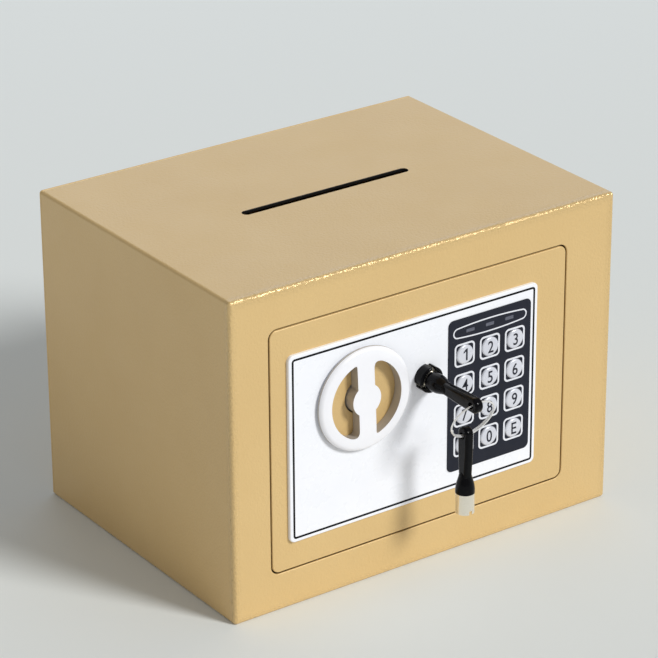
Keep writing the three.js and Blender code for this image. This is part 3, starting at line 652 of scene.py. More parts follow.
def turn(name, profile, centre, axis="Y", steps=64):
    """A profile of (radius, place along the axis) turned round the axis through centre."""
    order = AXES[axis]

    def at(radius, along, i):
        angle = 2 * math.pi * i / steps
        values = (centre[0] + radius * math.cos(angle), centre[1] + radius * math.sin(angle), along)
        point = [0.0, 0.0, 0.0]
        for slot, value in zip(order, values):
            point[slot] = value
        return tuple(point)

    solid = profile[0][0] == 0 and profile[-1][0] == 0
    inner = profile[1:-1] if solid else profile
    count = len(inner)
    points = [at(r, along, i) for r, along in inner for i in range(steps)]
    faces = []
    for k in range(count - 1 if solid else count):
        a, b = k * steps, ((k + 1) % count) * steps
        faces += [(a + i, a + (i + 1) % steps, b + (i + 1) % steps, b + i) for i in range(steps)]
    if solid:
        points += [at(0, profile[0][1], 0), at(0, profile[-1][1], 0)]
        first, last = len(points) - 2, len(points) - 1
        end = (count - 1) * steps
        faces += [(first, (i + 1) % steps, i) for i in range(steps)]
        faces += [(last, end + i, end + (i + 1) % steps) for i in range(steps)]
    obj = new_piece(name, points, faces)
    edit(obj, face_outwards)
    return smooth(obj)


print("loft and turn ready")

# %% [markdown]
# A finished piece gets its finish and the body that it moves with, and the CAD nodes that it
# stands for are hidden. A CAD node that only needs softer edges is copied first, because the node
# itself has to stay as it is.

# %% Fitting a piece
def copy_node(name, node):
    """A merged copy of a CAD node, ready to be worked on."""
    obj = add_object(name, nodes[node].data.copy())
    edit(obj, merge_doubles)
    obj.data.materials.clear()
    return obj


def fit(obj, body, slot, material, *replaced):
    """Gives a finished piece its finish and the body that it rides on. The slot is not used."""
    if material is not None:
        obj.data.materials.clear()
        obj.data.materials.append(material)
    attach(obj, body)
    if replaced:
        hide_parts(*replaced)
    print(obj.name, "on", body, len(obj.data.polygons), "faces")
    return obj


print("fitting ready")

# %% [markdown]
# ## Outlines
# A rounded rectangle is the outline of the case, the door, the faceplate and the printed
# panel. Its points always come in the same number, so two of them can be lofted together.

# %% Outlines
def rounded(x0, z0, x1, z1, radius, steps=8):
    """Points of a rounded rectangle, counter-clockwise."""
    corners = ((x1 - radius, z0 + radius, -90), (x1 - radius, z1 - radius, 0),
               (x0 + radius, z1 - radius, 90), (x0 + radius, z0 + radius, 180))
    points = []
    for x, z, start in corners:
        for i in range(steps + 1):
            angle = math.radians(start + 90 * i / steps)
            points.append((x + radius * math.cos(angle), z + radius * math.sin(angle)))
    return points


def outline_of(low, high, inset, radius):
    """The rounded outline of a box seen from the front, drawn in by inset."""
    return rounded(low.x + inset, low.z + inset, high.x - inset, high.z - inset, radius)


def upright(outline, y):
    return [(x, y, z) for x, z in outline]


def level(outline, z):
    return [(x, y, z) for x, y in outline]


def disc(x, z, radius, steps=64):
    return [(x + radius * math.cos(2 * math.pi * i / steps), z + radius * math.sin(2 * math.pi * i / steps))
            for i in range(steps)]


def turned_to(points, angle, x, z):
    """Points drawn round the origin, turned by an angle and moved to a centre."""
    cosine, sine = math.cos(angle), math.sin(angle)
    return [(x + u * cosine - v * sine, z + u * sine + v * cosine) for u, v in points]


def prism(outline, front, back, name="tool"):
    return loft(name, [upright(outline, front), upright(outline, back)])


print("outline helpers ready")

# %% [markdown]
# ## Setting out with Geometry Nodes
# Screws, batteries, ribs and the printed key squares all repeat. One Geometry Nodes tree takes
# one of them, sets copies out in rows and columns, can turn every other one end for end, and
# makes the copies real, because an exported model cannot hold instances.

# %% The rows and columns tree
def finish_tree(tree, geometry, material, end):
    """Every tree ends by making its copies real and giving them their finish."""
    real = add_node(tree, "GeometryNodeRealizeInstances", {"Geometry": geometry})
    paint = add_node(tree, "GeometryNodeSetMaterial", {
        "Geometry": real.outputs["Geometry"], "Material": material})
    feed(end, {"Geometry": paint.outputs["Geometry"]})


def rows_and_columns():
    tree, given, end = new_tree("rows and columns", "GeometryNodeTree", [
        ("Geometry", "Geometry"), ("Columns", "Int", 2), ("Rows", "Int", 2), ("Column Step", "Float", 0.01),
        ("Row Step", "Float", 0.01), ("Centre", "Vector", (0.0, 0.0, 0.0)),
        ("Turn Every Other", "Float", 0.0), ("Material", "Material")], [("Geometry", "Geometry")])
    index = add_node(tree, "GeometryNodeInputIndex").outputs[0]
    column = maths(tree, "MODULO", index, given["Columns"])
    row = maths(tree, "FLOOR", maths(tree, "DIVIDE", index, given["Columns"]))

    def offset(place, count, step):
        middle = maths(tree, "MULTIPLY", maths(tree, "SUBTRACT", count, 1.0), 0.5)
        return maths(tree, "MULTIPLY", maths(tree, "SUBTRACT", place, middle), step)

    where = add_node(tree, "ShaderNodeCombineXYZ", {
        "X": offset(column, given["Columns"], given["Column Step"]),
        "Z": offset(row, given["Rows"], given["Row Step"])})
    moved = add_node(tree, "ShaderNodeVectorMath", {0: where.outputs[0], 1: given["Centre"]}, operation="ADD")
    points = add_node(tree, "GeometryNodePoints", {
        "Count": maths(tree, "MULTIPLY", given["Columns"], given["Rows"]), "Position": moved.outputs[0]})
    odd = maths(tree, "MODULO", maths(tree, "ADD", column, row), 2.0)
    half_turn = maths(tree, "MULTIPLY", odd, given["Turn Every Other"])
    spin = add_node(tree, "ShaderNodeCombineXYZ", {"Y": maths(tree, "MULTIPLY", half_turn, math.pi)})
    copies = add_node(tree, "GeometryNodeInstanceOnPoints", {
        "Points": points.outputs[0], "Instance": given["Geometry"], "Rotation": spin.outputs[0]})
    finish_tree(tree, copies.outputs["Instances"], given["Material"], end)
    return tree


def grow(obj, tree, **values):
    """Runs a Geometry Nodes tree on obj, with its named inputs, and keeps the plain result."""
    step = obj.modifiers.new("grow", "NODES")
    step.node_group = tree
    for item in tree.interface.items_tree:
        label = item.name.lower().replace(" ", "_")
        if item.in_out == "INPUT" and label in values:
            step[item.identifier] = values[label]
    return bake(obj)


ROWS = rows_and_columns()
print("tree", ROWS.name, "with", len(ROWS.nodes), "nodes")

# %% [markdown]
# A key ring and a spring are both round wire along a spiral. The second tree draws the spiral
# and sweeps a small circle along it.

# %% The wire coil tree
WIRE_SIDES = 12


def wire_coil():
    tree, given, end = new_tree("wire coil", "GeometryNodeTree", [
        ("Geometry", "Geometry"), ("Radius", "Float", 0.01), ("Turns", "Float", 2.0),
        ("Height", "Float", 0.001), ("Wire Radius", "Float", 0.0005), ("Steps Per Turn", "Int", 64),
        ("Material", "Material")], [("Geometry", "Geometry")])
    spiral = add_node(tree, "GeometryNodeCurveSpiral", {
        "Resolution": given["Steps Per Turn"], "Rotations": given["Turns"], "Start Radius": given["Radius"],
        "End Radius": given["Radius"], "Height": given["Height"]})
    section = add_node(tree, "GeometryNodeCurvePrimitiveCircle", {
        "Resolution": WIRE_SIDES, "Radius": given["Wire Radius"]})
    sweep = add_node(tree, "GeometryNodeCurveToMesh", {
        "Curve": spiral.outputs["Curve"], "Profile Curve": section.outputs["Curve"], "Fill Caps": True})
    finish_tree(tree, sweep.outputs["Mesh"], given["Material"], end)
    return tree


COIL = wire_coil()
print("tree", COIL.name, "with", len(COIL.nodes), "nodes")

# %% [markdown]
# ## The folded case
# The real case is one sheet of steel: its front folds round into a wide frame, and every long
# edge is a soft bend. Lofting rounded rectangles from the doorway, out over the front fold,
# back along the sides and home again inside gives the bends their true round section.

# %% Case shell
case_low, case_high = span("body_shell")
door_low, door_high = span("door_panel")
DOOR_GAP = 0.8
FOLD = 1.8
SHEET = 1.5
RIM = 0.5
FADE = 3.0
NEARLY_SHARP = 0.02
DOORWAY_R = 4.8
WELD = 0.25
front = case_low.y


def case_ring(y, inset, radius):
    return upright(outline_of(case_low, case_high, inset, radius), y)


def doorway_ring(y, grown):
    return upright(outline_of(door_low, door_high, -(DOOR_GAP + grown), DOORWAY_R + grown), y)


def quarter(steps):
    """The angles of a quarter turn."""
    return [math.pi / 2 * i / steps for i in range(steps + 1)]


def rolled_edge(ring, y, radius, steps):
    """Rings that round the edge of a face at y. A negative radius is for a face at the back."""
    return [ring(y + radius * (1 - math.sin(a)), abs(radius) * (1 - math.cos(a))) for a in quarter(steps)]


def case_shell():
    inner_r = FOLD - SHEET / 2
    rings = [doorway_ring(front + SHEET, 0), *rolled_edge(doorway_ring, front, RIM, 4)]
    rings += [case_ring(front, FOLD + FADE, NEARLY_SHARP)]
    for a in quarter(8):
        radius = max(FOLD * math.sin(a), NEARLY_SHARP)
        rings.append(case_ring(front + FOLD * (1 - math.cos(a)), FOLD * (1 - math.sin(a)), radius))
    rings += [case_ring(front + FOLD + FADE, 0, FOLD), case_ring(case_high.y - WELD, 0, FOLD)]
    rings += [case_ring(case_high.y, WELD, FOLD - WELD), case_ring(case_high.y, SHEET, inner_r)]
    rings += [case_ring(front + SHEET, SHEET, inner_r)]
    return even_out(loft("case_shell", rings, closed=True), 50)


shell = case_shell()
print("case shell", len(shell.data.polygons), "faces")

# %% [markdown]
# The banknote slot is cut through the top, with the slightly flared mouth that a punch leaves. Then
# the marks are stored: one number for each point near the front fold, where the paint is
# coarser, and one for each face of the slot's walls, which are painted dark as painted shade.

# %% Banknote slot and marks
SLOT_HALF_L = 50.0
SLOT_HALF_W = 2.5
SLOT_FLARE = 0.2


def slot_cutter():
    """The banknote slot, a stadium whose mouth flares where the punch rounded the sheet."""
    top = case_high.z
    rings = []
    for z, grown in ((top - SHEET - 1, 0), (top - SLOT_FLARE, 0), (top, SLOT_FLARE), (top + 1, SLOT_FLARE)):
        long, wide = SLOT_HALF_L + grown, SLOT_HALF_W + grown
        rings.append(level(rounded(-long, -wide, long, wide, wide - 0.01, 12), z))
    return loft("slot", rings)


def store(obj, attribute, domain, elements, value_of):
    """Stores a mark on the mesh, one number for each of its points or faces."""
    marks = obj.data.attributes.new(attribute, "FLOAT", domain)
    for element, mark in zip(elements, marks.data):
        mark.value = value_of(element)


def fold_mark(vertex):
    """1 on the front fold, fading to 0 over the flats beside it."""
    x, y, z = vertex.co / MM
    inwards = min(x - case_low.x, case_high.x - x, case_high.z - z, z - case_low.z)
    reach = math.hypot(max(y - front - FOLD / 2, 0), max(inwards - FOLD / 2, 0))
    return max(0.0, 1 - reach / (FOLD / 2 + FADE))


def slot_shade_mark(face):
    """1 on the walls of the slot, where painted shade darkens the coat."""
    x, y, z = face.center / MM
    in_slot = abs(x) < SLOT_HALF_L + 1 and abs(y) < SLOT_HALF_W + 1.5 and z > case_high.z - SHEET - 0.1
    return float(in_slot and abs(face.normal.z) < 0.9)


carve(shell, slot_cutter())
even_out(shell)
store(shell, "fold", "POINT", shell.data.vertices, fold_mark)
# The slot walls are marked for painted shade.
store(shell, "slot_shade", "FACE", shell.data.polygons, slot_shade_mark)
fit(shell, "case", "powder_coat", GOLD_COAT, "body_shell")

# %% [markdown]
# The back is a separate plate laid on the folded shell and welded, so a fine line shows where
# they meet. Two holes in it take the anchor bolts.

# %% Back plate
back_low, back_high = span("back_panel")
ANCHOR_R = 5.0
ANCHOR_X = 55.0
BACK_EDGE = 0.6


def back_plate():
    def ring(y, inset):
        return upright(outline_of(back_low, back_high, inset, FOLD - inset), y)
    rings = [ring(back_low.y, WELD), ring(back_low.y + WELD, 0)]
    return loft("back_plate", rings + rolled_edge(ring, back_high.y, -BACK_EDGE, 4))


drills = [prism(disc(side * ANCHOR_X, middle_of("back_panel")[1], ANCHOR_R), back_low.y - 1, back_high.y + 1)
          for side in (-1, 1)]
plate = carve(back_plate(), *drills)
soften(plate, 0.2, 2)
fit(plate, "case", "powder_coat", GOLD_COAT, "back_panel")

# %% [markdown]
# ## The door
# The door is a thicker plate that sits level with the frame, with a thin dark gap all round. Its
# edges are rolled by the paint, so the front edge is rounded before the holes are cut.

# %% Door plate
DOOR_T = 3.0
DOOR_R = DOORWAY_R - DOOR_GAP
DOOR_EDGE = 0.55
knob_low, knob_high = span("knob")
knob_x, knob_z = middle_of("knob")
barrel_low, barrel_high = span("lock_barrel")
lock_x, lock_z = middle_of("lock_barrel")
barrel_r = (barrel_high.x - barrel_low.x) / 2
board_low, board_high = span("circuit_board")
CLEAR = 0.3
HUB_HOLE_R = 9.0
WINDOW_LAP = 3.0
WINDOW_RIGHT = 58.5
WIRING_R = 3.0


def front_plate(name, low, high, radius, y_back, edge, steps=5):
    """An upright plate whose front edge is rounded."""
    def ring(y, inset):
        return upright(outline_of(low, high, inset, radius - inset), y)
    return loft(name, [ring(y_back, 0), *rolled_edge(ring, low.y, edge, steps)])


def door_plate():
    plate = front_plate("door_plate", door_low, door_high, DOOR_R, front + DOOR_T, DOOR_EDGE)
    y0, y1 = front - 1, front + DOOR_T + 1
    lap = WINDOW_LAP
    window = rounded(board_low.x + lap, board_low.z + lap, WINDOW_RIGHT, board_high.z - lap, WIRING_R)
    carve(plate, prism(disc(knob_x, knob_z, HUB_HOLE_R), y0, y1),
          prism(disc(lock_x, lock_z, barrel_r + CLEAR), y0, y1), prism(window, y0, y1))
    return even_out(plate)


fit(door_plate(), "door", "powder_coat", GOLD_COAT, "door_panel")

# %% [markdown]
# Four threaded studs stand on the back of the door and carry the inner cover. They are hidden
# behind it, but the screws need something to bite into.

# %% Studs
screw_boxes = [span(f"cover_screw_{i}") for i in range(1, 5)]
screw_xs = sorted({round((low.x + high.x) / 2, 3) for low, high in screw_boxes})
screw_zs = sorted({round((low.z + high.z) / 2, 3) for low, high in screw_boxes})
STUD_R = 3.2
STUD_BORE_R = 1.5
STUD_BORE = 12.0
SCREW_GRID = {
    "columns": 2, "rows": 2,
    "column_step": (screw_xs[-1] - screw_xs[0]) * MM, "row_step": (screw_zs[-1] - screw_zs[0]) * MM,
    "centre": ((screw_xs[0] + screw_xs[-1]) / 2 * MM, 0, (screw_zs[0] + screw_zs[-1]) / 2 * MM)}


def stud():
    back = door_high.y
    start = front + DOOR_T
    return turn("cover_studs", [
        (0, start), (STUD_R, start), (STUD_R, back - 0.3), (STUD_R - 0.3, back), (STUD_BORE_R, back),
        (STUD_BORE_R, back - STUD_BORE), (0, back - STUD_BORE)], (0, 0), steps=32)


fit(smooth(grow(stud(), ROWS, material=ZINC, **SCREW_GRID)), "door", "zinc_steel", None)

# %% [markdown]
# ## The faceplate
# The faceplate is white enamelled plate with a bright rounded edge and a thin black line printed
# just inside it. The knob, the lock and every key look out through holes in it.

# %% Faceplate
face_low, face_high = span("faceplate")
FACE_R = 3.0
FACE_EDGE = 0.7
SKIRT_HOLE_R = 22.3
key_names = [*"123456789", "blank", "0", "e"]
key_centres = {name: middle_of(f"key_{name}") for name in key_names}
KEY_HOLE_R = 5.3
guide_low, guide_high = span("led_light_guide")


def key_drills(y0, y1):
    return [prism(disc(*centre, KEY_HOLE_R, 48), y0, y1) for centre in key_centres.values()]


def face_plate():
    plate = front_plate("face_plate", face_low, face_high, FACE_R, face_high.y, FACE_EDGE)
    y0, y1 = face_low.y - 1, face_high.y + 1
    lamps = outline_of(guide_low, guide_high, -CLEAR, 0.5)
    carve(plate, prism(disc(knob_x, knob_z, SKIRT_HOLE_R, 96), y0, y1),
          prism(disc(lock_x, lock_z, barrel_r + CLEAR), y0, y1), prism(lamps, y0, y1), *key_drills(y0, y1))
    return even_out(plate)


fit(face_plate(), "door", "white_face", WHITE_FACE, "faceplate")

# %% [markdown]
# Printed lines are a few hundredths of a millimetre of ink. Each one is a closed outline with a
# thin raised band along it, so it also shows in the exported mesh.

# %% Printed lines
INK = 0.05


def shifted(outline, distance):
    """The outline moved outwards by a distance, corner by corner."""
    count = len(outline)
    moved = []
    for i, (x, z) in enumerate(outline):
        before, after = outline[i - 1], outline[(i + 1) % count]
        along = Vector((after[0] - before[0], after[1] - before[1]))
        if along.length < 1e-9:
            along = Vector((1.0, 0.0))
        along.normalize()
        moved.append((x + along.y * distance, z - along.x * distance))
    return moved


def printed_line(name, outline, width, y_face):
    outer, inner = shifted(outline, width / 2), shifted(outline, -width / 2)
    corners = ((inner, y_face), (outer, y_face), (outer, y_face - INK), (inner, y_face - INK))
    return smooth(loft(name, [upright(points, y) for points, y in corners], closed=True), 30)


BORDER_IN = 2.4
BORDER_W = 1.1
BORDER_R = 1.2
border = outline_of(face_low, face_high, BORDER_IN, BORDER_R)
fit(printed_line("faceplate_border", border, BORDER_W, face_low.y), "door", "panel_overlay", BLACK_PRINT)

# %% [markdown]
# ## The key panel
# A navy film with rounded corners covers the switches. Round holes let the keys through, and
# three small windows let the lamps show.

# %% Key panel
panel_low, panel_high = span("keypad_panel")
PANEL_R = 3.0
panel_x = middle_of("keypad_panel")[0]
PANEL_EDGE = 0.15
LAMP_X_STEP = 12.05
LAMP_HALF_W = 2.55
LAMP_HALF_H = 0.9
lamp_z = middle_of("led_light_guide")[1]
COLUMNS = (-1, 0, 1)


def lamp_outline(column, grown):
    x, wide, tall = panel_x + column * LAMP_X_STEP, LAMP_HALF_W + grown, LAMP_HALF_H + grown
    return rounded(x - wide, lamp_z - tall, x + wide, lamp_z + tall, 0.3 + grown)


def key_panel():
    film = front_plate("key_panel", panel_low, panel_high, PANEL_R, panel_high.y, PANEL_EDGE, 3)
    y0, y1 = panel_low.y - 1, panel_high.y + 1
    windows = [prism(lamp_outline(column, 0.1), y0, y1) for column in COLUMNS]
    carve(film, *key_drills(y0, y1), *windows)
    return even_out(film)


fit(key_panel(), "door", "panel_overlay", NAVY_FILM, "keypad_panel")

# %% [markdown]
# The lamp lenses are one clear bar with three raised windows, dim while the bank is idle.

# %% Lamp lenses
def lamp_lenses():
    back, bar_y = outline_of(guide_low, guide_high, 0, 0.4), face_low.y + CLEAR
    bar = loft("lamp_lenses", [upright(back, guide_high.y), upright(back, bar_y)])
    lenses = []
    for column in COLUMNS:
        outline = lamp_outline(column, 0)
        lenses.append(loft("lens", [upright(outline, bar_y + 0.3), upright(outline, guide_low.y + 0.12),
                                    upright(shifted(outline, -0.35), guide_low.y)]))
    carve(bar, *lenses, how="UNION")
    return even_out(bar)


fit(lamp_lenses(), "door", "lamp_clear", LAMP_LENS, "led_light_guide")

# %% [markdown]
# A white line with bowed sides frames the lamps, and a white rounded square frames each key.
# The squares repeat, so one square is printed by hand and the rows and columns tree sets out
# the rest.

# %% Printed frames on the panel
LAMP_FRAME_HALF = 22.4
LAMP_FRAME_END = 2.5
LAMP_FRAME_BOW = 0.95
SQUARE = 11.4
SQUARE_R = 1.9
SQUARE_LINE = 1.0
LAMP_FRAME_LINE = 0.7
key_1_x, key_1_z = key_centres["1"]
key_e_x, key_e_z = key_centres["e"]
column_step = (key_e_x - key_1_x) / 2
row_step = (key_1_z - key_e_z) / 3


def bowed_frame():
    """A bar with half-round ends whose long sides bow outwards."""
    straight = LAMP_FRAME_HALF - LAMP_FRAME_END
    points = []
    for side in (1, -1):
        for i in range(13):
            angle = math.radians(-90 + 180 * i / 12)
            points.append((panel_x + side * (straight + LAMP_FRAME_END * math.cos(angle)),
                           lamp_z + side * LAMP_FRAME_END * math.sin(angle)))
        for i in range(1, 24):
            along = 1 - 2 * i / 24
            bow = LAMP_FRAME_BOW * (1 - along * along)
            points.append((panel_x + side * straight * along, lamp_z + side * (LAMP_FRAME_END + bow)))
    return points


half = SQUARE / 2
frame_line = printed_line("lamp_frame", bowed_frame(), LAMP_FRAME_LINE, panel_low.y)
fit(frame_line, "door", "panel_overlay", WHITE_PRINT)
square = printed_line("key_squares", rounded(-half, -half, half, half, SQUARE_R), SQUARE_LINE, panel_low.y)
squares = grow(
    square, ROWS, columns=3, rows=4, column_step=column_step * MM, row_step=row_step * MM,
    centre=((key_1_x + key_e_x) / 2 * MM, 0, (key_1_z + key_e_z) / 2 * MM), material=WHITE_PRINT)
fit(smooth(squares, 30), "door", "panel_overlay", None)

# %% [markdown]
# ## The push keys
# Each key is a turned silver button with a flat face and a rounded shoulder. It rides on its
# own body, because every key moves by itself, and its digit rides with it.

# %% Push keys
KEY_R = 5.1
KEY_STEM_R = 2.0


def push_key(name):
    low, high = span(f"key_{name}")
    f, cap_back = low.y, face_low.y + 0.7
    profile = [(0, f), (3.4, f + 0.02), (4.2, f + 0.08), (4.6, f + 0.18), (4.85, f + 0.36), (5.0, f + 0.6),
               (KEY_R, f + 0.85), (KEY_R, cap_back - 0.2), (KEY_R - 0.2, cap_back), (KEY_STEM_R, cap_back),
               (KEY_STEM_R, high.y), (0, high.y)]
    return turn(f"push_key_{name}", profile, key_centres[name], steps=48)


print(len(key_names), "keys of radius", KEY_R, "mm")

# %% [markdown]
# A digit is text made into a mesh, scaled to one height and centred on its key, with its back
# sunk a little into the cap so that no gap can show.

# %% Legends
LEGENDS = {**{digit: digit for digit in "0123456789"}, "e": "E"}
LEGEND_HEIGHT = 6.3
LEGEND_NARROW = 0.84
LEGEND_BOLD = 0.008
INK_PROUD = 0.06
INK_SUNK = 0.03


def legend_one(x, z, face):
    """A one with a flag, drawn from listed points because the built-in font gives it none."""
    height, half = LEGEND_HEIGHT, 1.2
    shape = [(0.25, 0), (half, 0), (half, height), (half - 0.75, height), (-half, height - 1.45),
             (-half, height - 2.3), (0.25, height - 1.35)]
    outline = [(x + u, z + v - height / 2) for u, v in shape]
    return loft("legend_1", [upright(outline, face + INK_SUNK), upright(outline, face - INK_PROUD)])


def legend(name):
    """The digit as a thin raised shape, centred on its key's face."""
    x, z = key_centres[name]
    face = span(f"key_{name}")[0].y
    if name == "1":
        return legend_one(x, z, face)
    font = bpy.data.curves.new("legend", "FONT")
    font.body = LEGENDS[name]
    font.size = 1.0
    font.extrude = 0.01
    font.offset = LEGEND_BOLD
    text = add_object(f"legend_{name}", font)
    mesh = visible_mesh(text)
    bpy.data.objects.remove(text)
    xs, ys, _ = zip(*(vertex.co for vertex in mesh.vertices))
    scale = LEGEND_HEIGHT / (max(ys) - min(ys))
    middle_x, middle_y = (min(xs) + max(xs)) / 2, (min(ys) + max(ys)) / 2
    for vertex in mesh.vertices:
        u, v, w = vertex.co
        side = -INK_PROUD if w > 0 else INK_SUNK
        vertex.co = Vector((x + (u - middle_x) * scale * LEGEND_NARROW, face + side,
                            z + (v - middle_y) * scale)) * MM
    obj = add_object(f"legend_{name}", mesh)
    edit(obj, merge_doubles)
    return obj


for name in key_names:
    fit(push_key(name), f"key_{name}", "silver_plastic", KEY_SILVER, f"key_{name}")
    if name in LEGENDS:
        fit(legend(name), f"key_{name}", "panel_overlay", LEGEND_GREY)

# %% [markdown]
# ## The bolt knob
# The knob is a shallow silver disc with two D-shaped windows, left and right of an upright bar
# with a round hub. The gold door shows through the windows. It is turned first, then the
# windows are cut with rounded corners, then every edge is softened.

# %% Knob windows
KNOB_R = (knob_high.x - knob_low.x) / 2
KNOB_RIM = face_low.y - 0.9
WINDOW_R = 20.5
SKIRT_R = 21.7
HUB_R = 8.2
BAR_HALF = 4.9
TILT = math.radians(2.3)
ROUND_CORNER = 3.4
SHARP_CORNER = 1.1
ARC_STEPS = 24
BULGE_STEPS = 12
CORNER_REACH = 1.6


def filleted(points, radii, steps=8):
    """An outline with each corner that has a radius replaced by an arc."""
    result = []
    for i, (point, radius) in enumerate(zip(points, radii)):
        here = Vector(point)
        if not radius:
            result.append(tuple(here))
            continue
        arrive, leave = Vector(points[i - 1]) - here, Vector(points[(i + 1) % len(points)]) - here
        reach = radius / math.tan(arrive.angle(leave) / 2)
        a, b = here + arrive.normalized() * reach, here + leave.normalized() * reach
        for k in range(steps + 1):
            t = k / steps
            result.append(tuple(a.lerp(here, t).lerp(here.lerp(b, t), t)))
    return result


def window_outline(side):
    """One D window: a wide arc outside, then the bar's edge, the hub's bulge and the bar again."""
    reach = math.asin(BAR_HALF / WINDOW_R)
    mouth = math.asin(BAR_HALF / HUB_R)
    bend = math.pi / 2 - reach
    low = -bend + SHARP_CORNER / WINDOW_R * CORNER_REACH
    high = bend - ROUND_CORNER / WINDOW_R * CORNER_REACH
    outer = [-bend] + [low + (high - low) * i / ARC_STEPS for i in range(ARC_STEPS + 1)] + [bend]
    bulge = math.pi / 2 - mouth
    inner = [bulge - 2 * bulge * i / BULGE_STEPS for i in range(BULGE_STEPS + 1)]
    points = [(WINDOW_R * math.cos(a), WINDOW_R * math.sin(a)) for a in outer]
    points += [(HUB_R * math.cos(a), HUB_R * math.sin(a)) for a in inner]
    radii = [SHARP_CORNER] + [0] * (ARC_STEPS + 1) + [ROUND_CORNER] + [0] * (BULGE_STEPS + 1)
    angle = TILT if side > 0 else math.pi + TILT
    return turned_to(filleted(points, radii), angle, knob_x, knob_z)


print("window outline", len(window_outline(1)), "points")

# %% [markdown]
# The turned disc, its skirt and its hub are one profile. The faces down inside the windows and
# behind the rim store a mark, and there the colour is painted greyer, as painted shade.

# %% Knob
BORE_R = 4.3


def recess_shade_mark(face):
    """1 on the walls inside the windows and on the back of the rim, where little light comes."""
    x, y, z = face.center / MM
    off_axis, depth = math.hypot(x - knob_x, z - knob_z), y - knob_low.y
    inside = off_axis < SKIRT_R and depth > 0.6 and abs(face.normal.y) < 0.6
    behind = off_axis > SKIRT_R and depth > 2.4
    return float(inside or behind)


def knob_piece():
    crown = knob_low.y
    back = front - CLEAR
    knob = turn("bolt_knob", [
        (0, crown), (16, crown + 0.08), (22, crown + 0.3), (24.8, crown + 0.62), (25.7, crown + 0.95),
        (26.4, crown + 1.5), (26.85, crown + 2.2), (KNOB_R, crown + 2.7), (KNOB_R, KNOB_RIM - 0.15),
        (KNOB_R - 0.15, KNOB_RIM), (SKIRT_R, KNOB_RIM), (SKIRT_R, back), (HUB_R, back),
        (HUB_R, knob_high.y), (0, knob_high.y)], (knob_x, knob_z), steps=160)
    bore = prism(disc(knob_x, knob_z, BORE_R, 48), crown + 2.2, knob_high.y + 1)
    windows = [prism(window_outline(side), crown - 2, front + 5) for side in (1, -1)]
    carve(knob, *windows, bore)
    soften(knob, 0.28, 3, 40)
    store(knob, "recess", "FACE", knob.data.polygons, recess_shade_mark)
    return knob


fit(knob_piece(), "knob", "silver_plastic", KNOB_SILVER, "knob")

# %% [markdown]
# ## The emergency lock
# A black collar with three notches stands on the faceplate round the key hole. The notches let
# the tubular key's lug in and go right down to the faceplate. The collar is turned, notched and
# softened like a moulded part.

# %% Lock collar
collar_low, collar_high = span("lock_collar")
COLLAR_R = (collar_high.x - collar_low.x) / 2
tube_low, tube_high = span("door_key_tube")
TUBE_R = (tube_high.x - tube_low.x) / 2
NOTCHES = (81, 201, 321)
NOTCH_HALF = 1.1


def notch_cutter(degrees):
    inner, outer = TUBE_R - 0.5, COLLAR_R + 1
    corners = [(inner, -NOTCH_HALF), (outer, -NOTCH_HALF), (outer, NOTCH_HALF), (inner, NOTCH_HALF)]
    return prism(turned_to(corners, math.radians(degrees), lock_x, lock_z), collar_low.y - 1, face_low.y)


def lock_collar():
    f, back = collar_low.y, collar_high.y
    bore = TUBE_R + CLEAR
    collar = turn("key_collar", [
        (COLLAR_R, back), (COLLAR_R, f + 0.9), (COLLAR_R - 0.12, f + 0.45), (COLLAR_R - 0.4, f + 0.15),
        (COLLAR_R - 0.8, f), (bore + 0.3, f), (bore, f + 0.3), (bore, f + 1.2), (barrel_r + CLEAR, f + 1.2),
        (barrel_r + CLEAR, back)], (lock_x, lock_z), steps=96)
    carve(collar, *[notch_cutter(degrees) for degrees in NOTCHES])
    return soften(collar, 0.18, 2, 40)


fit(lock_collar(), "door", "black_plastic", BLACK_GLOSS, "lock_collar")

# %% [markdown]
# ## The two keys
# Both keys are alike: a nickel tube pressed into a black moulded grip. The grip starts as a
# round flare and a flat bow grows out of it, so the two meet in a pointed tongue. That tongue
# comes by itself when the flare and the bow are joined with a boolean.

# %% Key grip
GRIP_L = 35.5
GRIP_HALF_T = 2.35
GRIP_HALF_W = 3.9
GRIP_EDGE_R = 1.5
GRIP_HOLE_R = 1.75
GRIP_HOLE_Z = GRIP_L - 4.5


def grip_piece(name, shade_sleeve):
    """A grip standing on its shoulder at z = 0, with a black sleeve of the given length below it, a dark
    piece standing in for the shade on the tube.
    """
    r = TUBE_R + 0.1
    flare = turn(name, [
        (0, -shade_sleeve), (r - 0.1, -shade_sleeve), (r, 0.1 - shade_sleeve), (r, 1.5), (r - 0.1, 3.0), (r - 0.3, 4.3),
        (r - 0.6, 5.5), (r - 1.1, 7.2), (3.3, 8.8), (3.0, 10.2), (2.5, 11), (0, 11)], (0, 0), "Z", 64)
    widths = ((3, 2.7), (9, 3.0), (12, 3.15), (16, 3.4), (20, 3.6), (25, 3.8),
              (GRIP_L - GRIP_HALF_W, GRIP_HALF_W))
    sections = [(z, GRIP_HALF_T, wide) for z, wide in widths]
    for degrees in (12, 24, 36, 47, 57, 66, 74, 81, 86):
        cosine, sine = math.cos(math.radians(degrees)), math.sin(math.radians(degrees))
        sections.append((GRIP_L - GRIP_HALF_W * (1 - sine), GRIP_HALF_T - 1.1 * (1 - cosine) ** 2,
                         GRIP_HALF_W * cosine + 0.05))
    bow = loft("bow", [level(rounded(-a, -b, a, b, min(GRIP_EDGE_R, a * 0.9, b * 0.9), 6), z)
                       for z, a, b in sections])
    carve(flare, bow, how="UNION")
    hole = turn("hole", [(0, -4), (GRIP_HOLE_R, -4), (GRIP_HOLE_R, 4), (0, 4)], (0, GRIP_HOLE_Z), "X", 32)
    carve(flare, hole)
    return even_out(flare, 30)


print("key grip", GRIP_L, "mm long")

# %% [markdown]
# The tube is turned hollow, with a slot for the lug at its end and the fine seam that drawn tube
# keeps along its side.

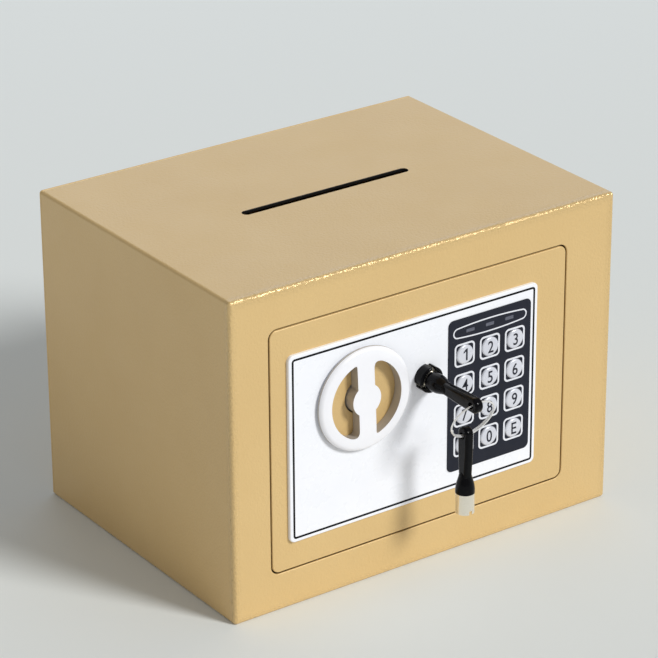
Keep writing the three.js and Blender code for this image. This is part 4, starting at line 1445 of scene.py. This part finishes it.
# %% Key tube
TUBE_L = tube_high.y - tube_low.y
TUBE_WALL = 0.9
LUG_HALF = 0.8
LUG_DEEP = 2.2
SEAM_HALF = 0.12
SEAM_DEEP = 0.15


def tube_piece(name):
    """The hollow tube below the shoulder, with a lug slot at its end and a drawn seam."""
    r, chamfer = TUBE_R, 0.25
    inner, end = r - TUBE_WALL, -TUBE_L
    tube = turn(name, [
        (r, 0), (r, end + chamfer), (r - chamfer, end), (inner + chamfer, end), (inner, end + chamfer),
        (inner, 0)], (0, 0), "Z", 80)

    def cutter(x0, y0, x1, y1, z0, z1):
        return loft("cutter", [level([(x0, y0), (x1, y0), (x1, y1), (x0, y1)], z) for z in (z0, z1)])

    slot = cutter(-LUG_HALF, -r - 4.25, LUG_HALF, 0, end - 1, end + LUG_DEEP)
    seam = cutter(-r - 1, -SEAM_HALF, SEAM_DEEP - r, SEAM_HALF, end - 1, 1)
    carve(tube, slot, seam)
    return even_out(tube, 30)


print("key tube", round(TUBE_L, 2), "mm long")

# %% [markdown]
# Both keys are made standing at the origin and then moved: one lies in the lock, the other hangs
# from the ring. The grip of the key in the lock has a black sleeve that reaches down to the collar,
# painted shade: a dark piece where the tube between shoulder and collar lies in shade.

# %% Placing the keys
def stand_key(name, place, shade_sleeve):
    """place moves the standing key, shoulder at the origin, to where it belongs."""
    for part, obj, slot, material in (
            ("tube", tube_piece(f"{name}_tube_piece"), "nickel", NICKEL),
            ("grip", grip_piece(f"{name}_grip_piece", shade_sleeve), "black_plastic", BLACK_GLOSS)):
        obj.data.transform(place)
        fit(obj, name, slot, material, f"{name}_{part}")


in_lock = Matrix.Translation(Vector((lock_x, tube_low.y, lock_z)) * MM) @ Matrix.Rotation(math.pi / 2, 4, "X")
# The door key's black sleeve is painted shade over the tube below its shoulder.
stand_key("door_key", in_lock, collar_low.y - tube_low.y - 0.1)
hanging = Vector((*middle_of("spare_key_tube", "xy"), span("spare_key_tube")[1].z))
stand_key("spare_key", Matrix.Translation(hanging * MM), 0)

# %% [markdown]
# The split ring is springy wire coiled on itself, which is just what the wire coil tree draws.
# It hangs through both grips and leans back towards the door.

# %% Split ring
ring_low, ring_high = span("key_ring")
RING_WIRE_R = 0.45
RING_TURNS = 1.45
RING_TILT = math.radians(26)


def split_ring():
    ring_r = (ring_high.x - ring_low.x) / 2 - 0.6
    height = RING_TURNS * 2 * RING_WIRE_R
    ring = grow(
        new_piece("split_ring", [], []), COIL, radius=ring_r * MM, turns=RING_TURNS, height=height * MM,
        wire_radius=RING_WIRE_R * MM, steps_per_turn=72, material=RING_WIRE)
    centre = (ring_low + ring_high) / 2
    ring.data.transform(Matrix.Translation(centre * MM) @ Matrix.Rotation(math.pi / 2 + RING_TILT, 4, "X")
                        @ Matrix.Translation(Vector((0, 0, -height / 2)) * MM))
    edit(ring, merge_doubles, face_outwards)
    return smooth(ring, 50)


fit(split_ring(), "key_ring", "nickel", None, "key_ring")

# %% [markdown]
# ## Behind the door
# The inner cover is folded from the same coated sheet. A copy of the CAD node already has every
# hole in its place, so it is merged, its flat faces are joined up, and its edges are rounded.

# %% Refined sheet parts
def refine(name, node, width, segments=2):
    return soften(copy_node(name, node), width, segments)


for name, node, width, body, slot, material in (
        ("inner_cover", "mechanism_cover", 0.45, "door", "powder_coat", GOLD_COAT),
        ("hinge_strap", "hinge_leaf", 0.4, "door", "powder_coat", GOLD_COAT),
        ("bracket_upper", "hinge_bracket_upper", 0.3, "case", "zinc_steel", ZINC),
        ("bracket_lower", "hinge_bracket_lower", 0.3, "case", "zinc_steel", ZINC),
        ("bolt_slide_plate", "bolt_plate", 0.2, "bolt_carriage", "zinc_steel", ZINC),
        ("solenoid_yoke", "solenoid_frame", 0.25, "door", "zinc_steel", ZINC),
        ("battery_tray", "battery_holder", 0.35, "door", "black_plastic", BLACK_MATT)):
    fit(refine(name, node, width, 3 if material is GOLD_COAT else 2), body, slot, material, node)

# %% [markdown]
# The hinge pins and the two locking bolts are plain turned bars with rounded ends. Each bolt
# slides in a short black bush.

# %% Pins, bolts and bushes
BUSH_WALL = 1.7


def bar_profile(radius, start, end, dome):
    """A bar with rounded ends, as a profile to be turned."""
    arc = [(radius - dome * (1 - math.sin(a)), dome * (1 - math.cos(a))) for a in quarter(4)]
    nose = sorted(((r, start + step) for r, step in arc), key=lambda point: point[1])
    tail = sorted(((r, end - step) for r, step in arc), key=lambda point: point[1])
    return [(0, start), *nose, *tail, (0, end)]


for side in ("upper", "lower"):
    node = f"hinge_pin_{side}"
    low, high = span(node)
    profile = bar_profile((high.x - low.x) / 2, low.z, high.z, 0.5)
    fit(turn(f"pin_{side}", profile, middle_of(node, "xy"), "Z", 40), "door", "zinc_steel", ZINC, node)
    node = f"bolt_{side}"
    low, high = span(node)
    profile = bar_profile((high.z - low.z) / 2, low.x, high.x, 1.0)
    bolt = turn(f"lock_{node}", profile, middle_of(node, "yz"), "X")
    fit(bolt, "bolt_carriage", "zinc_steel", NICKEL, node)
    node = f"bolt_bush_{side}"
    low, high = span(node)
    outer = (high.z - low.z) / 2
    inner = outer - BUSH_WALL
    profile = [(outer, high.x), (outer, low.x + 0.4), (outer - 0.4, low.x), (inner + 0.3, low.x),
               (inner, low.x + 0.3), (inner, high.x)]
    fit(turn(f"bush_{side}", profile, middle_of(node, "yz"), "X"), "door", "black_plastic", BLACK_MATT, node)

# %% [markdown]
# Four cross-head screws hold the inner cover. One screw is turned and its recess cut, and the
# rows and columns tree sets out all four.

# %% Cover screws
SLOT_L, SLOT_W, SLOT_DEEP = 1.7, 0.32, 0.9


def one_screw():
    (low, high), back = screw_boxes[0], span("mechanism_cover")[1].y
    tip, head = low.y, high.y
    screw = turn("cover_screws", [
        (0, tip), (0.6, tip), (1.15, tip + 0.8), (1.15, back), (2.9, back), (3.0, back + 0.1),
        (3.0, head - 0.75), (2.7, head - 0.3), (2.1, head - 0.06), (1.2, head), (0, head)], (0, 0), steps=40)
    arms = [prism([(-a, -b), (a, -b), (a, b), (-a, b)], head - SLOT_DEEP, head + 1)
            for a, b in ((SLOT_L, SLOT_W), (SLOT_W, SLOT_L))]
    return carve(screw, *arms)


screws = smooth(grow(one_screw(), ROWS, material=ZINC, **SCREW_GRID), 40)
fit(screws, "door", "zinc_steel", None, *[f"cover_screw_{i}" for i in range(1, 5)])

# %% [markdown]
# ## The batteries
# Four cells lie one above another, every other one turned end for end, which is one input of
# the same tree. Jackets and steel ends are two runs of it, because each run has one finish.

# %% Batteries
cell_nodes = [f"battery_{i}" for i in range(1, 5)]
cells = [span(node) for node in cell_nodes]
CELL_R = (cells[0][1].z - cells[0][0].z) / 2
CELL_HALF = (cells[0][1].x - cells[0][0].x) / 2
cell_centres = [(low + high) / 2 for low, high in cells]
cell_middle = sum(cell_centres, Vector()) / 4
cell_step = (cell_centres[-1].z - cell_centres[0].z) / 3
NUB_R = 2.6
NUB_L = 1.2


def cell_jacket():
    r, start, end = CELL_R, -CELL_HALF, CELL_HALF - NUB_L
    return turn("battery_jackets", [
        (r - 0.7, end - 0.25), (r - 0.5, end), (r - 0.15, end - 0.15), (r, end - 0.5), (r, start + 0.6),
        (r - 0.15, start + 0.2), (r - 0.5, start + 0.1), (r - 0.7, start + 0.4)], (0, 0), "X", 48)


def cell_metal():
    r, nub, tip = CELL_R - 0.72, NUB_R, CELL_HALF
    start, end = -CELL_HALF, CELL_HALF - NUB_L
    return turn("battery_ends", [
        (0, start), (r - 0.6, start), (r, start + 0.35), (r, end - 0.3), (nub + 1, end - 0.3),
        (nub + 0.2, end), (nub, end + 0.3), (nub, tip - 0.3), (nub - 0.3, tip), (0, tip)], (0, 0), "X", 48)


for cell, material, replaced in ((cell_jacket(), JACKET, cell_nodes), (cell_metal(), NICKEL, [])):
    cell = grow(cell, ROWS, columns=1, rows=4, row_step=cell_step * MM, centre=tuple(cell_middle * MM),
                turn_every_other=1.0, material=material)
    fit(smooth(cell, 40), "door", "battery_jacket", None, *replaced)

# %% [markdown]
# The battery cover is a snap-in lid with a row of finger ribs, once more from the same tree.

# %% Battery cover
lid_low, lid_high = span("battery_cover")
RIBS = 7
RIB_STEP = 2.2
RIB_HALF_L = 9.0
RIB_HALF_W = 0.6
RIBS_FROM_EDGE = 6.0
lid = refine("battery_lid", "battery_cover", 0.35)
fit(lid, "battery_cover", "black_plastic", BLACK_MATT, "battery_cover")
rib_rings = []
for y, inset in ((-0.2, 0), (0.35, 0), (0.55, 0.2), (0.6, 0.4)):
    long, wide = RIB_HALF_L - inset, RIB_HALF_W - inset
    rib_rings.append(upright(rounded(-long, -wide, long, wide, wide - 0.01, 5), y))
rib = loft("lid_ribs", rib_rings)
lid_x = lid_low.x + RIB_HALF_L + RIBS_FROM_EDGE
ribs = grow(rib, ROWS, columns=1, rows=RIBS, row_step=RIB_STEP * MM,
            centre=(lid_x * MM, lid_high.y * MM, (lid_low.z + lid_high.z) / 2 * MM), material=BLACK_MATT)
fit(smooth(ribs, 50), "battery_cover", "black_plastic", None)

# %% [markdown]
# A small round button beside the lid resets the code. Its cap is dished for a fingertip.

# %% Reset button
def reset_cap():
    low, high = span("reset_button")
    flange_r = (high.x - low.x) / 2
    r = flange_r - 1
    step = low.y + 1.2
    return turn("reset_cap", [
        (0, low.y), (flange_r, low.y), (flange_r, step), (r, step), (r, high.y - 0.35),
        (r - 0.12, high.y - 0.1), (r - 0.4, high.y), (r - 0.9, high.y - 0.12), (r - 1.7, high.y - 0.3),
        (0, high.y - 0.36)], middle_of("reset_button"), "Y", 48)


fit(reset_cap(), "reset_button", "black_plastic", BLACK_GLOSS, "reset_button")

# %% [markdown]
# ## The felt mat
# A grey felt mat lies on the floor of the cash chamber, so that coins land quietly. It is a
# fine grid with a faint swell, because felt never lies quite flat, closed underneath.

# %% Felt mat
mat_low, mat_high = span("floor_mat")
MAT_COLUMNS, MAT_ROWS = 74, 54
MAT_SWELL = 0.12


def mat_height(x, y):
    swell = math.sin(x / 19) * math.cos(y / 23 + 0.6) + 0.5 * math.sin(x / 7.3 + y / 9.1)
    return mat_high.z - MAT_SWELL - MAT_SWELL * swell / 1.5


def felt_mat():
    points, faces = [], []
    for layer in range(2):
        for j in range(MAT_ROWS + 1):
            for i in range(MAT_COLUMNS + 1):
                x = mat_low.x + (mat_high.x - mat_low.x) * i / MAT_COLUMNS
                y = mat_low.y + (mat_high.y - mat_low.y) * j / MAT_ROWS
                points.append((x, y, mat_low.z if layer == 0 else mat_height(x, y)))
    wide = MAT_COLUMNS + 1
    top = wide * (MAT_ROWS + 1)
    for j in range(MAT_ROWS):
        for i in range(MAT_COLUMNS):
            a = j * wide + i
            faces.append((a, a + wide, a + wide + 1, a + 1))
            faces.append((top + a, top + a + 1, top + a + wide + 1, top + a + wide))
    edge = [*range(wide), *(j * wide + MAT_COLUMNS for j in range(1, MAT_ROWS + 1))]
    edge += [MAT_ROWS * wide + i for i in reversed(range(MAT_COLUMNS))]
    edge += [j * wide for j in reversed(range(1, MAT_ROWS))]
    for a, b in zip(edge, edge[1:] + edge[:1]):
        faces.append((a, b, top + b, top + a))
    mat = new_piece("felt_mat", points, faces)
    edit(mat, face_outwards)
    return smooth(mat, 50)


mat = felt_mat()
fit(mat, "case", "felt", GREY_FELT, "floor_mat")

# %% [markdown]
# ## What stays from the frame
# The parts inside the inner cover keep their CAD shape and get a real finish each.

# %% Finishes for the hidden mechanism
HIDDEN = {
    "knob_shaft": ZINC, "knob_cam": ZINC, "lock_barrel": NICKEL, "lock_plug": NICKEL, "lock_nut": ZINC,
    "lock_cam": ZINC, "solenoid_coil": COPPER, "solenoid_plunger": ZINC, "plunger_spring": NICKEL,
    "circuit_board": BOARD_GREEN,
}
for name, material in HIDDEN.items():
    for place in nodes[name].material_slots:
        place.material = material
left_over = sorted(name for name, node in nodes.items() if not node.hide_render and name not in HIDDEN)
print("left as they are:", left_over)
